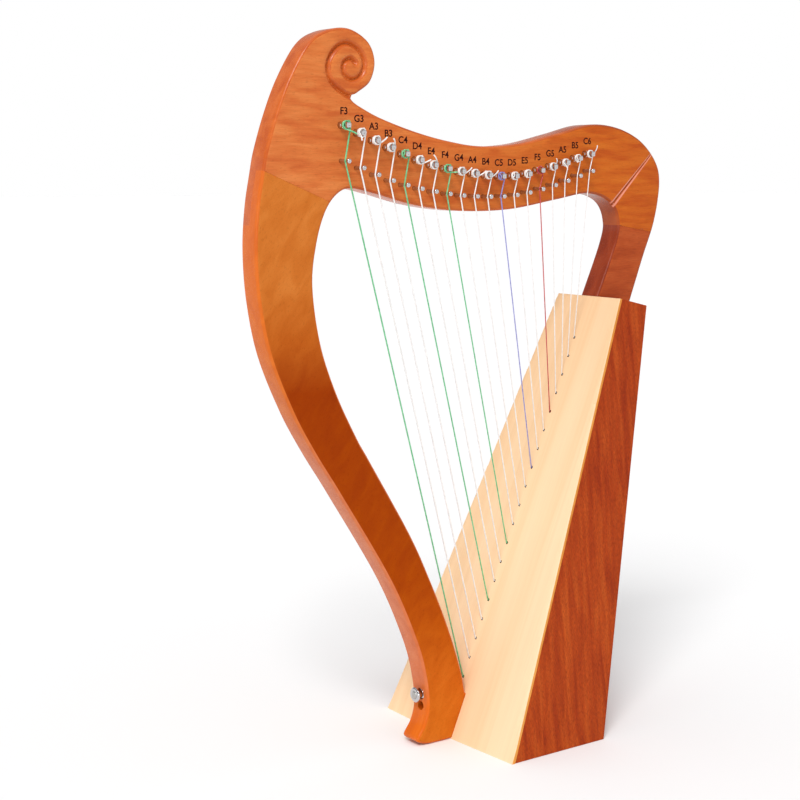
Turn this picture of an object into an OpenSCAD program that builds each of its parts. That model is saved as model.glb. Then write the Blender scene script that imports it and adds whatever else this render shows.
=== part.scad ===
// Small lap harp with nineteen nylon strings.
// Frame: +Z up, +X from the pillar towards the soundbox, the strings and the tuning pins
// face -Y. The origin is on the ground under the middle of the harp. Millimetres.

/* [Soundbox] */
// Length of the soundboard, measured up its slope
board_length = 391; // [380:1:396]
// Lean of the soundboard from upright, in degrees
board_lean = 22.8; // [22:0.1:23.4]
// Width of the soundbox at the ground
box_bottom_w = 170; // [150:1:200]
// Width of the soundbox at the top
box_top_w = 78; // [70:1:90]
// Depth of the soundbox at the ground
box_bottom_depth = 99; // [90:1:110]
// Depth of the soundbox at the top
box_top_depth = 31; // [30:1:34]
// Thickness of the soundboard
board_t = 3; // [2.5:0.1:3.5]
// Height of the crease along the middle of the soundboard, at its foot
crease_h = 3; // [1:0.1:3.5]
// Height of the crease at the top of the soundboard
crease_top_h = 0.4; // [0.3:0.1:1]
// Thickness of the two side panels
side_t = 4.5; // [3:0.1:6]
// Thickness of the back panel
back_t = 3.5; // [2.5:0.1:4]
// Thickness of the base panel
base_t = 5; // [4:0.1:6]
// Thickness of the top cap
cap_t = 4; // [3:0.1:5]

/* [Wooden frame] */
// Thickness of the neck, the pillar and the shoulder post
frame_t = 21; // [20:0.5:22]
// Diameter of the dowels inside the shoulder joint
dowel_d = 6; // [4:0.5:8]

/* [Strings and pins] */
// Distance from one string hole to the next, up the soundboard
hole_step = 16.8; // [16.6:0.05:16.9]
// Distance of the lowest string hole from the foot of the soundboard
first_hole = 50.3; // [50:0.1:51]
// Diameter of the string holes
string_hole_d = 2.4; // [2:0.1:2.6]
// Diameter of the thickest string, the lowest
bass_d = 1.2; // [0.9:0.05:1.3]
// Diameter of the thinnest string, the highest
treble_d = 0.8; // [0.5:0.05:0.9]
// Distance from one pin to the next, along the neck
pin_step = 13.65; // [13.5:0.05:13.7]
// Diameter of a tuning pin
tuning_pin_d = 5; // [4.8:0.1:5.2]
// Length of a tuning pin outside the neck
tuning_pin_out = 11.5; // [11:0.1:13]
// Radial clearance of a tuning pin in its bore
pin_clearance = 0.05; // [0.02:0.01:0.09]
// Length of a bridge pin outside the neck
bridge_pin_out = 12; // [11.5:0.1:13]

/* [Hidden] */
NOTES = ["f3", "g3", "a3", "b3", "c4", "d4", "e4", "f4", "g4", "a4", "b4",
         "c5", "d5", "e5", "f5", "g5", "a5", "b5", "c6"];
LAST = len(NOTES) - 1;

// ---- Curves ----

CURVE_STEPS = 6;

// One point of the smooth curve through b and c, with a and d beyond them
function curve_point(a, b, c, d, t) =
    0.5 * (2 * b + (c - a) * t + (2 * a - 5 * b + 4 * c - d) * t * t
           + (3 * b - a - 3 * c + d) * t * t * t);

// The value at k of a list that is carried on in a straight line past its ends
function beyond(list, k) =
    k < 0 ? 2 * list[0] - list[1]
    : k >= len(list) ? 2 * list[len(list) - 1] - list[len(list) - 2]
    : list[k];

// A smooth curve through every point of a list
function curve(points, steps = CURVE_STEPS) = concat(
    [for (k = [0 : len(points) - 2], s = [0 : steps - 1])
        curve_point(beyond(points, k - 1), points[k], points[k + 1],
                    beyond(points, k + 2), s / steps)],
    [points[len(points) - 1]]);

function reversed(list) = [for (k = [len(list) - 1 : -1 : 0]) list[k]];
function unit(v) = v / norm(v);

// ---- Side view of the wooden frame, as [x, z] ----

// Underside of the foot, then up the outer edge of the pillar
PILLAR_OUTER = [[-22, 0.3], [-36, 0], [-50, 1.2], [-57.7, 6], [-50.7, 17.3], [-47.1, 32],
                [-49.9, 56.6], [-59.4, 88.4], [-85.2, 143], [-131.8, 216.5],
                [-155.4, 252.1], [-174.6, 285.1], [-193.4, 328.5], [-202.6, 369.9],
                [-205.3, 408], [-203.1, 440], [-198.4, 466]];
// Outer edge of the neck and round the scroll to its notch
SCROLL = [[-198.4, 466], [-195.3, 480.2], [-186.7, 506.2], [-175, 533], [-158.5, 558.6],
          [-142, 569], [-122, 571.4], [-104.3, 562.5], [-98, 548], [-102.3, 533.2],
          [-113.2, 525], [-118, 522.6]];
// Top of the neck, round the shoulder and down the post
NECK_TOP = [[-119.2, 520], [-117.6, 517.6], [-109.5, 513.2], [-92, 505.9], [-60, 496.4],
            [-27, 489.5], [6, 485.9], [45, 488.4], [86, 497], [122, 504.9], [153.2, 502.9],
            [180.5, 492.7], [199.5, 475.2], [205.3, 456], [200, 424], [186.2, 390],
            [168.2, 344]];
// Inner edge: up the pillar, under the neck and down the post
INNER = [[-8, 37], [-13, 59], [-26.6, 97.7], [-45.9, 141.3], [-65.8, 180.3],
         [-104.1, 242.7], [-116, 261.9], [-134.5, 297.8], [-148.7, 336.8], [-155.3, 380],
         [-151.8, 411], [-143.7, 435.4], [-132.9, 448.8], [-120, 453], [-96, 448.5],
         [-60, 439.9], [-16, 434.8], [36, 435.5], [87, 443], [121, 447.7], [145, 441],
         [155.2, 425.7], [152.6, 405.5], [128, 350]];
// The foot runs on into the soundboard, which cuts it to fit
FOOT_BEHIND = [[-5, 35], [-19, 0]];

FRAME_OUTLINE = concat(curve(PILLAR_OUTER), curve(SCROLL), curve(NECK_TOP),
                       reversed(curve(INNER)), FOOT_BEHIND);

// Spiral cut into both faces of the scroll, from its eye outwards to the notch
SPIRAL = [[-116.2, 546.6], [-120.5, 549.4], [-126.6, 545.6], [-126.4, 538.4],
          [-120.5, 534.3], [-113.4, 535.8], [-108.6, 542], [-108.6, 550],
          [-113.6, 556.6], [-122.4, 560.4], [-131.2, 558.2], [-138, 551.2],
          [-141, 543.2], [-139.2, 534.4], [-133, 527.6], [-124.8, 523], [-118.4, 521.4]];
SPIRAL_W = 1.8;
SPIRAL_DEPTH = 1.5;

// Decorative cut across the shoulder, closing to nothing at the outer edge
SHOULDER_CUT = [[194.6, 481], [193.4, 482], [147, 441], [152.5, 437]];
SHOULDER_CUT_DEPTH = 1.4;

// Half lap between neck and pillar: the pillar's tongue is in front, the neck's behind
LAP_SLOPE = -0.4;
LAP_FRONT = [-197, 466];
LAP_BACK = [-203, 426];
// Butt joint between neck and shoulder post
KNEE = [157.5, 420.2];
KNEE_SLOPE = -0.165;

// Area below a sloping line, from x0 to x1 and down to z0
module below(point, slope, x0, x1, z0) {
    polygon([[x0, point.y + slope * (x0 - point.x)], [x1, point.y + slope * (x1 - point.x)],
             [x1, z0], [x0, z0]]);
}

// Stands a drawing of [x, z] up in the XZ plane, from y0 to y1
module upright(y0, y1) {
    translate([0, y1, 0]) rotate([90, 0, 0]) linear_extrude(y1 - y0) children();
}

// A round bar along +Y, from y0 to y1
module bar_y(x, z, y0, y1, d) {
    translate([x, y0, z]) rotate([-90, 0, 0]) cylinder(d = d, h = y1 - y0, $fn = 32);
}

// A round bar along +X
module bar_x(x0, x1, z, d, sides = 32) {
    translate([x0, 0, z]) rotate([0, 90, 0]) cylinder(d = d, h = x1 - x0, $fn = sides);
}

// ---- Side view of the soundbox ----

FOOT_X = -20;
UP = [sin(board_lean), cos(board_lean)];
INTO = [cos(board_lean), -sin(board_lean)];
BOARD_TOP = [FOOT_X, 0] + board_length * UP;
CAP_DROP = 13.5;
BACK_TOP = BOARD_TOP + box_top_depth * [1, -tan(CAP_DROP)];
BACK_FOOT = [FOOT_X + box_bottom_depth, 0];

// Lines as [point, direction], moved d into the box
function front_line(d) = [[FOOT_X, 0] + d * INTO, UP];
function back_line(d) =
    let (along = unit(BACK_TOP - BACK_FOOT)) [BACK_FOOT + d * [-along.y, along.x], along];
function cap_line(d) =
    let (along = unit(BACK_TOP - BOARD_TOP)) [BOARD_TOP + d * [along.y, -along.x], along];
function level_line(z) = [[0, z], [1, 0]];

// The point where two lines cross
function crossing(a, b) =
    let (u = a[1], v = b[1], w = b[0] - a[0])
    a[0] + u * ((w.x * v.y - w.y * v.x) / (u.x * v.y - u.y * v.x));

// The area between two front-to-back lines and two up-and-down lines
function four_sided(low, high, front, back) =
    [crossing(low, front), crossing(low, back), crossing(high, back), crossing(high, front)];

// Half the width of the box at height z
function half_width(z) =
    (box_bottom_w + (box_top_w - box_bottom_w) * z / BOARD_TOP.y) / 2;

TALL = BOARD_TOP.y + 20;

// A piece of the box that stops the same distance inside both outer faces
module box_piece(side_view, inset) {
    foot = half_width(0) - inset;
    top = half_width(TALL) - inset;
    box_slice(side_view, [[foot, 0], [top, TALL], [-top, TALL], [-foot, 0]]);
}

// A piece along one side panel, side -1 or 1, that starts inset from its face
module side_piece(side_view, side, inset, thick) {
    foot = half_width(0) - inset;
    top = half_width(TALL) - inset;
    box_slice(side_view, [[side * foot, 0], [side * top, TALL],
                          [side * (top - thick), TALL], [side * (foot - thick), 0]]);
}

// What a side view, as [x, z], and a front view, as [y, z], have in common
module box_slice(side_view, front_view) {
    intersection() {
        upright(-box_bottom_w, box_bottom_w) polygon(side_view);
        translate([-box_bottom_w, 0, 0]) rotate([90, 0, 90]) linear_extrude(3 * box_bottom_w)
            polygon(front_view);
    }
}

// ---- Rows of strings and pins ----

FACE_Y = -10;
BACK_Y = FACE_Y + frame_t;
FIRST_PIN_X = -130.3;
// Heights of every third pin in each row
TUNING_ROW = [500, 484, 471, 464.5, 462.5, 470, 480.5];
BRIDGE_ROW = [473.5, 459, 450.5, 446.5, 447.3, 455, 466.5];
ROW_STEP = 3;

// Height in a row at pin i
function row_height(row, i) =
    let (k = min(floor(i / ROW_STEP), len(row) - 2), t = i / ROW_STEP - k)
    curve_point(beyond(row, k - 1), row[k], row[k + 1], beyond(row, k + 2), t);

function pin_x(i) = FIRST_PIN_X + pin_step * i;
function tuning_at(i) = [pin_x(i), row_height(TUNING_ROW, i)];
function bridge_at(i) = [pin_x(i), row_height(BRIDGE_ROW, i)];
function string_d(i) = bass_d + (treble_d - bass_d) * i / LAST;

// Height of the crease above the edges of the board, a distance s up it
function crease(s) = crease_h + (crease_top_h - crease_h) * s / board_length;
function hole_distance(i) = first_hole + hole_step * i;
function hole_mouth(i) =
    [FOOT_X, 0] + hole_distance(i) * UP - crease(hole_distance(i)) * INTO;

// ---- Neck, pillar and post ----

TUNING_BORE_DEPTH = 17;
BRIDGE_BORE_DEPTH = 12;
BRIDGE_PIN_D = 3;
DOWEL_LENGTH = 30;
DOWEL_SPOTS = [[168, 418.5], [186, 415.5]];
TENON_X = [136, 152];
TENON_SCREW_INSET = 4;
TENON_T = 12;
TENON_FOOT_Z = 338;
LEFT = -260;
RIGHT = 240;

module frame_outline() {
    polygon(FRAME_OUTLINE);
}

module pillar_area(lap_point) {
    intersection() {
        frame_outline();
        below(lap_point, LAP_SLOPE, LEFT, 60, -20);
    }
}

module neck_area(lap_point) {
    difference() {
        frame_outline();
        below(lap_point, LAP_SLOPE, LEFT, 60, -20);
        below(KNEE, KNEE_SLOPE, 110, RIGHT, 320);
    }
}

// A flat-bottomed groove along a curve, as a drawing
module groove(path, width) {
    last = len(path) - 1;
    sideways = [for (k = [0 : last])
        let (d = unit(path[min(k + 1, last)] - path[max(k - 1, 0)])) [-d.y, d.x] * width / 2];
    polygon(concat([for (k = [0 : last]) path[k] + sideways[k]],
                   [for (k = [last : -1 : 0]) path[k] - sideways[k]]));
}

module dowels(d) {
    tilt = atan(KNEE_SLOPE);
    for (spot = DOWEL_SPOTS)
        translate([spot.x, 0, spot.y]) rotate([0, -tilt, 0])
            cylinder(d = d, h = DOWEL_LENGTH, center = true, $fn = 32);
}

module neck() {
    color("peru") difference() {
        union() {
            upright(FACE_Y, 0) neck_area(LAP_FRONT);
            upright(0, BACK_Y) neck_area(LAP_BACK);
        }
        for (i = [0 : LAST]) {
            bar_y(tuning_at(i).x, tuning_at(i).y, FACE_Y - 1, FACE_Y + TUNING_BORE_DEPTH,
                  tuning_pin_d + 2 * pin_clearance);
            bar_y(bridge_at(i).x, bridge_at(i).y, FACE_Y - 1, FACE_Y + BRIDGE_BORE_DEPTH,
                  BRIDGE_PIN_D);
        }
        for (y = [FACE_Y - 1, BACK_Y - SPIRAL_DEPTH])
            upright(y, y + SPIRAL_DEPTH + 1) groove(curve(SPIRAL, 4), SPIRAL_W);
        upright(FACE_Y - 1, FACE_Y + SHOULDER_CUT_DEPTH) polygon(SHOULDER_CUT);
        dowels(dowel_d);
    }
}

module pillar() {
    color("chocolate") difference() {
        union() {
            upright(FACE_Y, 0) pillar_area(LAP_FRONT);
            upright(0, BACK_Y) pillar_area(LAP_BACK);
        }
        board_blank();
        bar_x(BUTTON_SEAT_X - 20, BUTTON_SEAT_X, BUTTON_Z, BUTTON_BASE_D + 0.4);
        bar_x(BUTTON_SEAT_X - 1, BUTTON_SEAT_X + BUTTON_SCREW_IN, BUTTON_Z, SCREW_D);
        bar_x(PILLAR_SCREW_HEAD_X - 20, PILLAR_SCREW_HEAD_X, PILLAR_SCREW_Z, COUNTERBORE_D);
        bar_x(PILLAR_SCREW_HEAD_X - 1, 10, PILLAR_SCREW_Z, PILLAR_SCREW_D);
    }
}

module post_tenon() {
    translate([TENON_X[0], -TENON_T / 2, TENON_FOOT_Z])
        cube([TENON_X[1] - TENON_X[0], TENON_T, BOARD_TOP.y - TENON_FOOT_Z + 5]);
}

module shoulder_post() {
    cap = cap_line(0);
    slope = cap[1].y / cap[1].x;
    color("sienna") difference() {
        union() {
            upright(FACE_Y, BACK_Y) intersection() {
                frame_outline();
                difference() {
                    below(KNEE, KNEE_SLOPE, 110, RIGHT, 320);
                    below(cap[0], slope, 110, RIGHT, 300);
                }
            }
            post_tenon();
        }
        dowels(dowel_d);
        tenon_screw_bars(TENON_SCREW_D, TENON_SCREW_IN);
    }
}

module shoulder_dowels() {
    color("burlywood") dowels(dowel_d);
}

// ---- Soundbox ----

RIB_W = 14;
RIB_T = 5;
RIB_FROM = 43;
RIB_TO = 356;
BLOCK_TOP = 42.5;
BLOCK_DEPTH = 26;
TOP_BLOCK_FOOT_Z = 330;
LINING = 6;
BRACE_T = 6;
BRACE_H = 12;
BRACE_AT = [0.38, 0.68];
// Sound holes in the back: distance up the back as a share of its length, and diameter
SOUND_HOLES = [[0.22, 52], [0.53, 44], [0.81, 32]];

// The soundboard before its holes: two flat halves that meet at a raised crease
module board_blank() {
    foot = [FOOT_X, 0];
    inner_foot = crossing(front_line(board_t), level_line(0));
    inner_top = crossing(front_line(board_t), cap_line(0));
    ridge_foot = foot - [crease_h / cos(board_lean), 0];
    ridge_top = BOARD_TOP - crease_top_h * cap_line(0)[1];
    w0 = half_width(0);
    w1 = half_width(BOARD_TOP.y);
    w1_inner = half_width(inner_top.y);
    points = [[foot.x, -w0, 0], [ridge_foot.x, 0, 0], [foot.x, w0, 0],
              [inner_foot.x, w0, 0], [inner_foot.x, -w0, 0],
              [BOARD_TOP.x, -w1, BOARD_TOP.y], [ridge_top.x, 0, ridge_top.y],
              [BOARD_TOP.x, w1, BOARD_TOP.y],
              [inner_top.x, w1_inner, inner_top.y], [inner_top.x, -w1_inner, inner_top.y]];
    polyhedron(points, [[0, 4, 3, 2, 1], [5, 6, 7, 8, 9], [0, 1, 5], [1, 6, 5], [1, 2, 7],
                        [1, 7, 6], [2, 3, 8, 7], [3, 4, 9, 8], [4, 0, 5, 9]]);
}

// Bars square to the soundboard through every string hole
module string_hole_bars(d, depth) {
    for (i = [0 : LAST]) {
        m = hole_mouth(i) - 1 * INTO;
        translate([m.x, 0, m.y]) rotate([0, 90 + board_lean, 0])
            cylinder(d = d, h = depth + 1, $fn = 12);
    }
}

// Its holes have flats, because a round one across the low crease leaves a broken edge
module soundboard() {
    color("wheat") difference() {
        board_blank();
        string_hole_bars(string_hole_d, 12);
        bar_x(PILLAR_SCREW_HEAD_X, 10, PILLAR_SCREW_Z, PILLAR_SCREW_D + 0.5, 12);
    }
}

// A line square to the soundboard, a distance s up it
function across_board(s) = [[FOOT_X, 0] + s * UP, INTO];

module string_rib() {
    color("tan") difference() {
        upright(-RIB_W / 2, RIB_W / 2)
            polygon(four_sided(across_board(RIB_FROM), across_board(RIB_TO),
                               front_line(board_t), front_line(board_t + RIB_T)));
        string_hole_bars(string_hole_d, 20);
    }
}

module side_panel(side) {
    color("saddlebrown")
        side_piece(four_sided(level_line(0), cap_line(0), front_line(board_t), back_line(0)),
                   side, 0, side_t);
}

module side_panel_near() {
    side_panel(-1);
}

module side_panel_far() {
    side_panel(1);
}

// A point on the back, a share of the way up it
function back_point(share) = BACK_FOOT + share * (BACK_TOP - BACK_FOOT);

module back_panel() {
    along = back_line(0)[1];
    color("saddlebrown") difference() {
        box_piece(four_sided(level_line(0), cap_line(0), back_line(back_t), back_line(0)),
                  side_t);
        for (hole = SOUND_HOLES) {
            p = back_point(hole[0]);
            translate([p.x, 0, p.y]) rotate([0, atan2(along.x, along.y) - 90, 0])
                cylinder(d = hole[1], h = 4 * back_t, center = true, $fn = 64);
        }
    }
}

module top_cap() {
    color("saddlebrown") difference() {
        box_piece(four_sided(cap_line(cap_t), cap_line(0), front_line(board_t),
                             back_line(back_t)), side_t);
        post_tenon();
    }
}

module base_panel() {
    color("saddlebrown")
        box_piece(four_sided(level_line(0), level_line(base_t), front_line(board_t),
                             back_line(back_t)), side_t);
}

module bottom_block() {
    front = front_line(board_t);
    block_back = front_line(board_t + BLOCK_DEPTH);
    color("burlywood") difference() {
        box_piece([crossing(level_line(base_t), front), crossing(level_line(base_t), block_back),
                   crossing(across_board(BLOCK_TOP), block_back),
                   crossing(across_board(BLOCK_TOP), front)], side_t);
        bar_x(PILLAR_SCREW_HEAD_X, PILLAR_SCREW_HEAD_X + PILLAR_SCREW_LENGTH,
              PILLAR_SCREW_Z, PILLAR_SCREW_D);
    }
}

module top_block() {
    color("burlywood") difference() {
        box_piece(four_sided(level_line(TOP_BLOCK_FOOT_Z), cap_line(cap_t),
                             front_line(board_t), back_line(back_t)), side_t);
        post_tenon();
        tenon_screw_bars(TENON_SCREW_D, TENON_SCREW_IN);
    }
}

// Strips glued into the long corners between the side panels and the front or the back
module front_linings() {
    color("burlywood") for (side = [-1, 1])
        side_piece(four_sided(across_board(BLOCK_TOP + 6), level_line(TOP_BLOCK_FOOT_Z),
                              front_line(board_t), front_line(board_t + LINING)),
                   side, side_t, LINING);
}

module back_linings() {
    color("burlywood") for (side = [-1, 1])
        side_piece(four_sided(level_line(base_t), level_line(TOP_BLOCK_FOOT_Z),
                              back_line(back_t + LINING), back_line(back_t)),
                   side, side_t, LINING);
}

// Cross bars inside the back panel, between its sound holes
module back_braces() {
    along = back_line(0)[1];
    square_on = [-along.y, along.x];
    color("burlywood") for (share = BRACE_AT) {
        low = [back_point(share), square_on];
        high = [back_point(share) + BRACE_H * along, square_on];
        box_piece(four_sided(low, high, back_line(back_t + BRACE_T), back_line(back_t)),
                  side_t + LINING);
    }
}

// ---- Fasteners and fittings ----

SCREW_D = 3.2;
BUTTON_Z = 41;
BUTTON_SEAT_X = -45.2;
BUTTON_BASE_D = 9;
BUTTON_WAIST_D = 6;
BUTTON_HEAD_D = 12.4;
BUTTON_SCREW_IN = 22;
// Distances from the seat: base flange, waist and head of the button
BUTTON_LEVELS = [0, 1.8, 5.8, 8.8];
PILLAR_SCREW_Z = 31;
PILLAR_SCREW_HEAD_X = -33;
PILLAR_SCREW_D = 4;
PILLAR_SCREW_LENGTH = 48;
PILLAR_SCREW_HEAD_D = 7;
COUNTERBORE_D = 7.6;
TENON_SCREW_D = 3.5;
TENON_SCREW_HEAD_D = 6.5;
TENON_SCREW_IN = 24;
TENON_SCREW_X = [TENON_X[0] + TENON_SCREW_INSET, TENON_X[1] - TENON_SCREW_INSET];
SCREW_HEAD_H = 2.5;

// Turns a [radius, distance] profile about the line y = 0, z, growing towards -X
module turned_x(x, z, profile) {
    translate([x, 0, z]) rotate([0, -90, 0]) rotate_extrude($fn = 48) polygon(profile);
}

module strap_button() {
    l = BUTTON_LEVELS;
    bore = SCREW_D / 2;
    color("silver") turned_x(BUTTON_SEAT_X, BUTTON_Z, [
        [bore, l[0]], [BUTTON_BASE_D / 2, l[0]], [BUTTON_BASE_D / 2, l[0] + 1],
        [BUTTON_WAIST_D / 2, l[1]], [BUTTON_WAIST_D / 2, l[2]],
        [BUTTON_HEAD_D / 2 - 0.8, l[2] + 0.6], [BUTTON_HEAD_D / 2, l[2] + 1.4],
        [BUTTON_HEAD_D / 2, l[2] + 2.2], [BUTTON_HEAD_D / 2 - 1, l[3]],
        [bore + 1.8, l[3]], [bore, l[3] - 1.8]]);
}

module strap_button_screw() {
    top = BUTTON_LEVELS[3];
    r = SCREW_D / 2;
    color("gray") turned_x(BUTTON_SEAT_X, BUTTON_Z, [
        [0, -BUTTON_SCREW_IN], [r, 2 - BUTTON_SCREW_IN], [r, top - 1.8], [r + 1.8, top],
        [r + 0.8, top + 0.5], [0, top + 0.7]]);
}

module pillar_screw() {
    r = PILLAR_SCREW_D / 2;
    head_r = PILLAR_SCREW_HEAD_D / 2;
    color("dimgray") turned_x(PILLAR_SCREW_HEAD_X, PILLAR_SCREW_Z, [
        [0, -PILLAR_SCREW_LENGTH], [r, 3 - PILLAR_SCREW_LENGTH], [r, 0], [head_r, 0],
        [head_r, SCREW_HEAD_H - 1], [head_r - 1.2, SCREW_HEAD_H], [0, SCREW_HEAD_H]]);
}

// The two upright screw positions under the post's tenon
module tenon_screw_bars(d, length) {
    for (x = TENON_SCREW_X)
        translate([x, 0, TOP_BLOCK_FOOT_Z - 0.01]) cylinder(d = d, h = length + 0.01, $fn = 32);
}

module tenon_screws() {
    color("dimgray") for (x = TENON_SCREW_X)
        translate([x, 0, TOP_BLOCK_FOOT_Z]) {
            cylinder(d = TENON_SCREW_D, h = TENON_SCREW_IN, $fn = 32);
            translate([0, 0, -SCREW_HEAD_H])
                cylinder(d = TENON_SCREW_HEAD_D, h = SCREW_HEAD_H, $fn = 32);
        }
}

// ---- Pins and strings ----

BRIDGE_TIP_Y = FACE_Y - bridge_pin_out;
TUNING_TIP_Y = FACE_Y - tuning_pin_out;
BRIDGE_HEAD_D = 3.7;
BRIDGE_WAIST_D = 2.5;
// The string lies in the waist of the bridge pin, this far behind its tip
WAIST_FROM = 2;
WAIST_TO = 4.4;
STRING_AT_BRIDGE_Y = BRIDGE_TIP_Y + (WAIST_FROM + WAIST_TO) / 2;
DRIVE_FLATS = 4.1;
DRIVE_LENGTH = 8.5;
// The inner end of every winding, where the string leaves it
WINDING_INNER_Y = -16.2;
// The pins of the coloured strings, which show where each F and the middle Cs are, carry
// fewer turns
COLOURED = ["f3", "c4", "f4", "c5", "f5"];
FEW_TURNS = 2.2;
MANY_TURNS = 3.2;
function turns(i) = len([for (n = COLOURED) if (n == NOTES[i]) n]) > 0 ? FEW_TURNS : MANY_TURNS;
// Gap between a string and the winding, which turns, or the bridge pin beside it
STRING_GAP = 0.15;

// Turns a [radius, distance] profile about a line along +Y, starting at y
module turned_y(x, y, z, profile) {
    translate([x, y, z]) rotate([-90, 0, 0]) rotate_extrude($fn = 32) polygon(profile);
}

module bridge_pins() {
    head_r = BRIDGE_HEAD_D / 2;
    waist_r = BRIDGE_WAIST_D / 2;
    shaft_r = BRIDGE_PIN_D / 2;
    color("silver") for (i = [0 : LAST])
        turned_y(bridge_at(i).x, BRIDGE_TIP_Y, bridge_at(i).y, [
            [0, 0], [head_r - 0.5, 0], [head_r, 0.5], [head_r, WAIST_FROM - 0.5],
            [waist_r, WAIST_FROM], [waist_r, WAIST_TO], [shaft_r, WAIST_TO + 0.4],
            [shaft_r, bridge_pin_out + BRIDGE_BORE_DEPTH], [0, bridge_pin_out + BRIDGE_BORE_DEPTH]]);
}

module tuning_pin(i) {
    x = tuning_at(i).x;
    z = tuning_at(i).y;
    r = tuning_pin_d / 2;
    color("silver") difference() {
        union() {
            bar_y(x, z, TUNING_TIP_Y + DRIVE_LENGTH, FACE_Y + TUNING_BORE_DEPTH - 0.5,
                  tuning_pin_d);
            intersection() {
                turned_y(x, TUNING_TIP_Y, z, [[0, 0], [r - 0.6, 0], [r, 0.6],
                                              [r, DRIVE_LENGTH], [0, DRIVE_LENGTH]]);
                translate([x, TUNING_TIP_Y + DRIVE_LENGTH / 2, z])
                    cube([DRIVE_FLATS, DRIVE_LENGTH + 1, DRIVE_FLATS], center = true);
            }
        }
        translate([x, WINDING_INNER_Y - 1.2, z]) cylinder(d = 1.5, h = 8, center = true, $fn = 24);
    }
}

// The turns of string round a tuning pin, as a plain sleeve
module winding(i) {
    x = tuning_at(i).x;
    z = tuning_at(i).y;
    length = turns(i) * string_d(i);
    color("whitesmoke") difference() {
        bar_y(x, z, WINDING_INNER_Y - length, WINDING_INNER_Y, tuning_pin_d + 2 * string_d(i));
        bar_y(x, z, WINDING_INNER_Y - length - 1, WINDING_INNER_Y + 1, tuning_pin_d);
    }
}

KNOT_R = 2;
TUBE_SIDES = 8;

// A direction turned to the right, seen from the front
function right_of(d) = [-d.y, d.x];

// The direction from one round to another of a string that passes a of the first on its
// right side and b of the second on its left side
function crossover(from, to, a, b) =
    let (d = unit(to - from), s = (a + b) / norm(to - from))
    sqrt(1 - s * s) * d - s * right_of(d);

// Route of a string: winding, bridge pin, hole in the soundboard, knot behind the rib
function string_route(i) =
    let (r = string_d(i) / 2,
         at_winding = tuning_pin_d / 2 + 3 * r + STRING_GAP,
         at_bridge = BRIDGE_WAIST_D / 2 + r + STRING_GAP,
         mouth = hole_mouth(i),
         rib_back = board_t + RIB_T + crease(hole_distance(i)),
         upper = crossover(tuning_at(i), bridge_at(i), at_winding, at_bridge),
         lower = -crossover(mouth, bridge_at(i), 0, at_bridge),
         start = tuning_at(i) + at_winding * right_of(upper),
         bends = [for (d = [upper, unit(upper + lower), lower])
             bridge_at(i) - at_bridge * right_of(d)])
    concat([[start.x, WINDING_INNER_Y - r, start.y]],
           [for (p = bends) [p.x, STRING_AT_BRIDGE_Y, p.y]],
           [[mouth.x, 0, mouth.y]],
           [for (d = [0, 0.4, 1.4, 3.4, 4.2])
               let (p = mouth + (rib_back + d) * INTO) [p.x, 0, p.y]]);

function string_radii(i) =
    let (r = string_d(i) / 2) [r, r, r, r, r, r, KNOT_R * 0.7, KNOT_R, KNOT_R, KNOT_R * 0.6];

// Direction of a route at its point k, halfway between the stretches on its two sides
function heading(route, k) =
    unit((k > 0 ? unit(route[k] - route[k - 1]) : [0, 0, 0])
         + (k < len(route) - 1 ? unit(route[k + 1] - route[k]) : [0, 0, 0]));

// A tube of changing radius along a route that runs nowhere along Y
module tube(route, radii) {
    last = len(route) - 1;
    n = TUBE_SIDES;
    points = [for (k = [0 : last])
        let (u = unit(cross(heading(route, k), [0, 1, 0])), v = cross(heading(route, k), u))
        for (s = [0 : n - 1]) route[k] + radii[k] * (cos(360 * s / n) * u + sin(360 * s / n) * v)];
    sides = [for (k = [0 : last - 1], s = [0 : n - 1])
        [k * n + s, k * n + (s + 1) % n, (k + 1) * n + (s + 1) % n, (k + 1) * n + s]];
    polyhedron(points, concat([[for (s = [n - 1 : -1 : 0]) s]], sides,
                              [[for (s = [0 : n - 1]) last * n + s]]));
}

module strings() {
    color("whitesmoke") for (i = [0 : LAST]) tube(string_route(i), string_radii(i));
}

// ---- Every node ----

neck();
pillar();
shoulder_post();
shoulder_dowels();
soundboard();
string_rib();
side_panel_near();
side_panel_far();
back_panel();
top_cap();
base_panel();
bottom_block();
top_block();
front_linings();
back_linings();
back_braces();
bridge_pins();
strings();
strap_button();
strap_button_screw();
pillar_screw();
tenon_screws();
for (i = [0 : LAST]) {
    tuning_pin(i);
    winding(i);
}
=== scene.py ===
"""Looks of a small lap harp with nineteen strings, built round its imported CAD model.

Lengths are in millimetres until a mesh is made. The frame is the model's own: +X from the
pillar to the soundbox, +Z up, and the strings and pins face -Y.
"""

import math

import bmesh
import bpy
import numpy as np
from mathutils import Matrix, Vector, geometry


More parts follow.
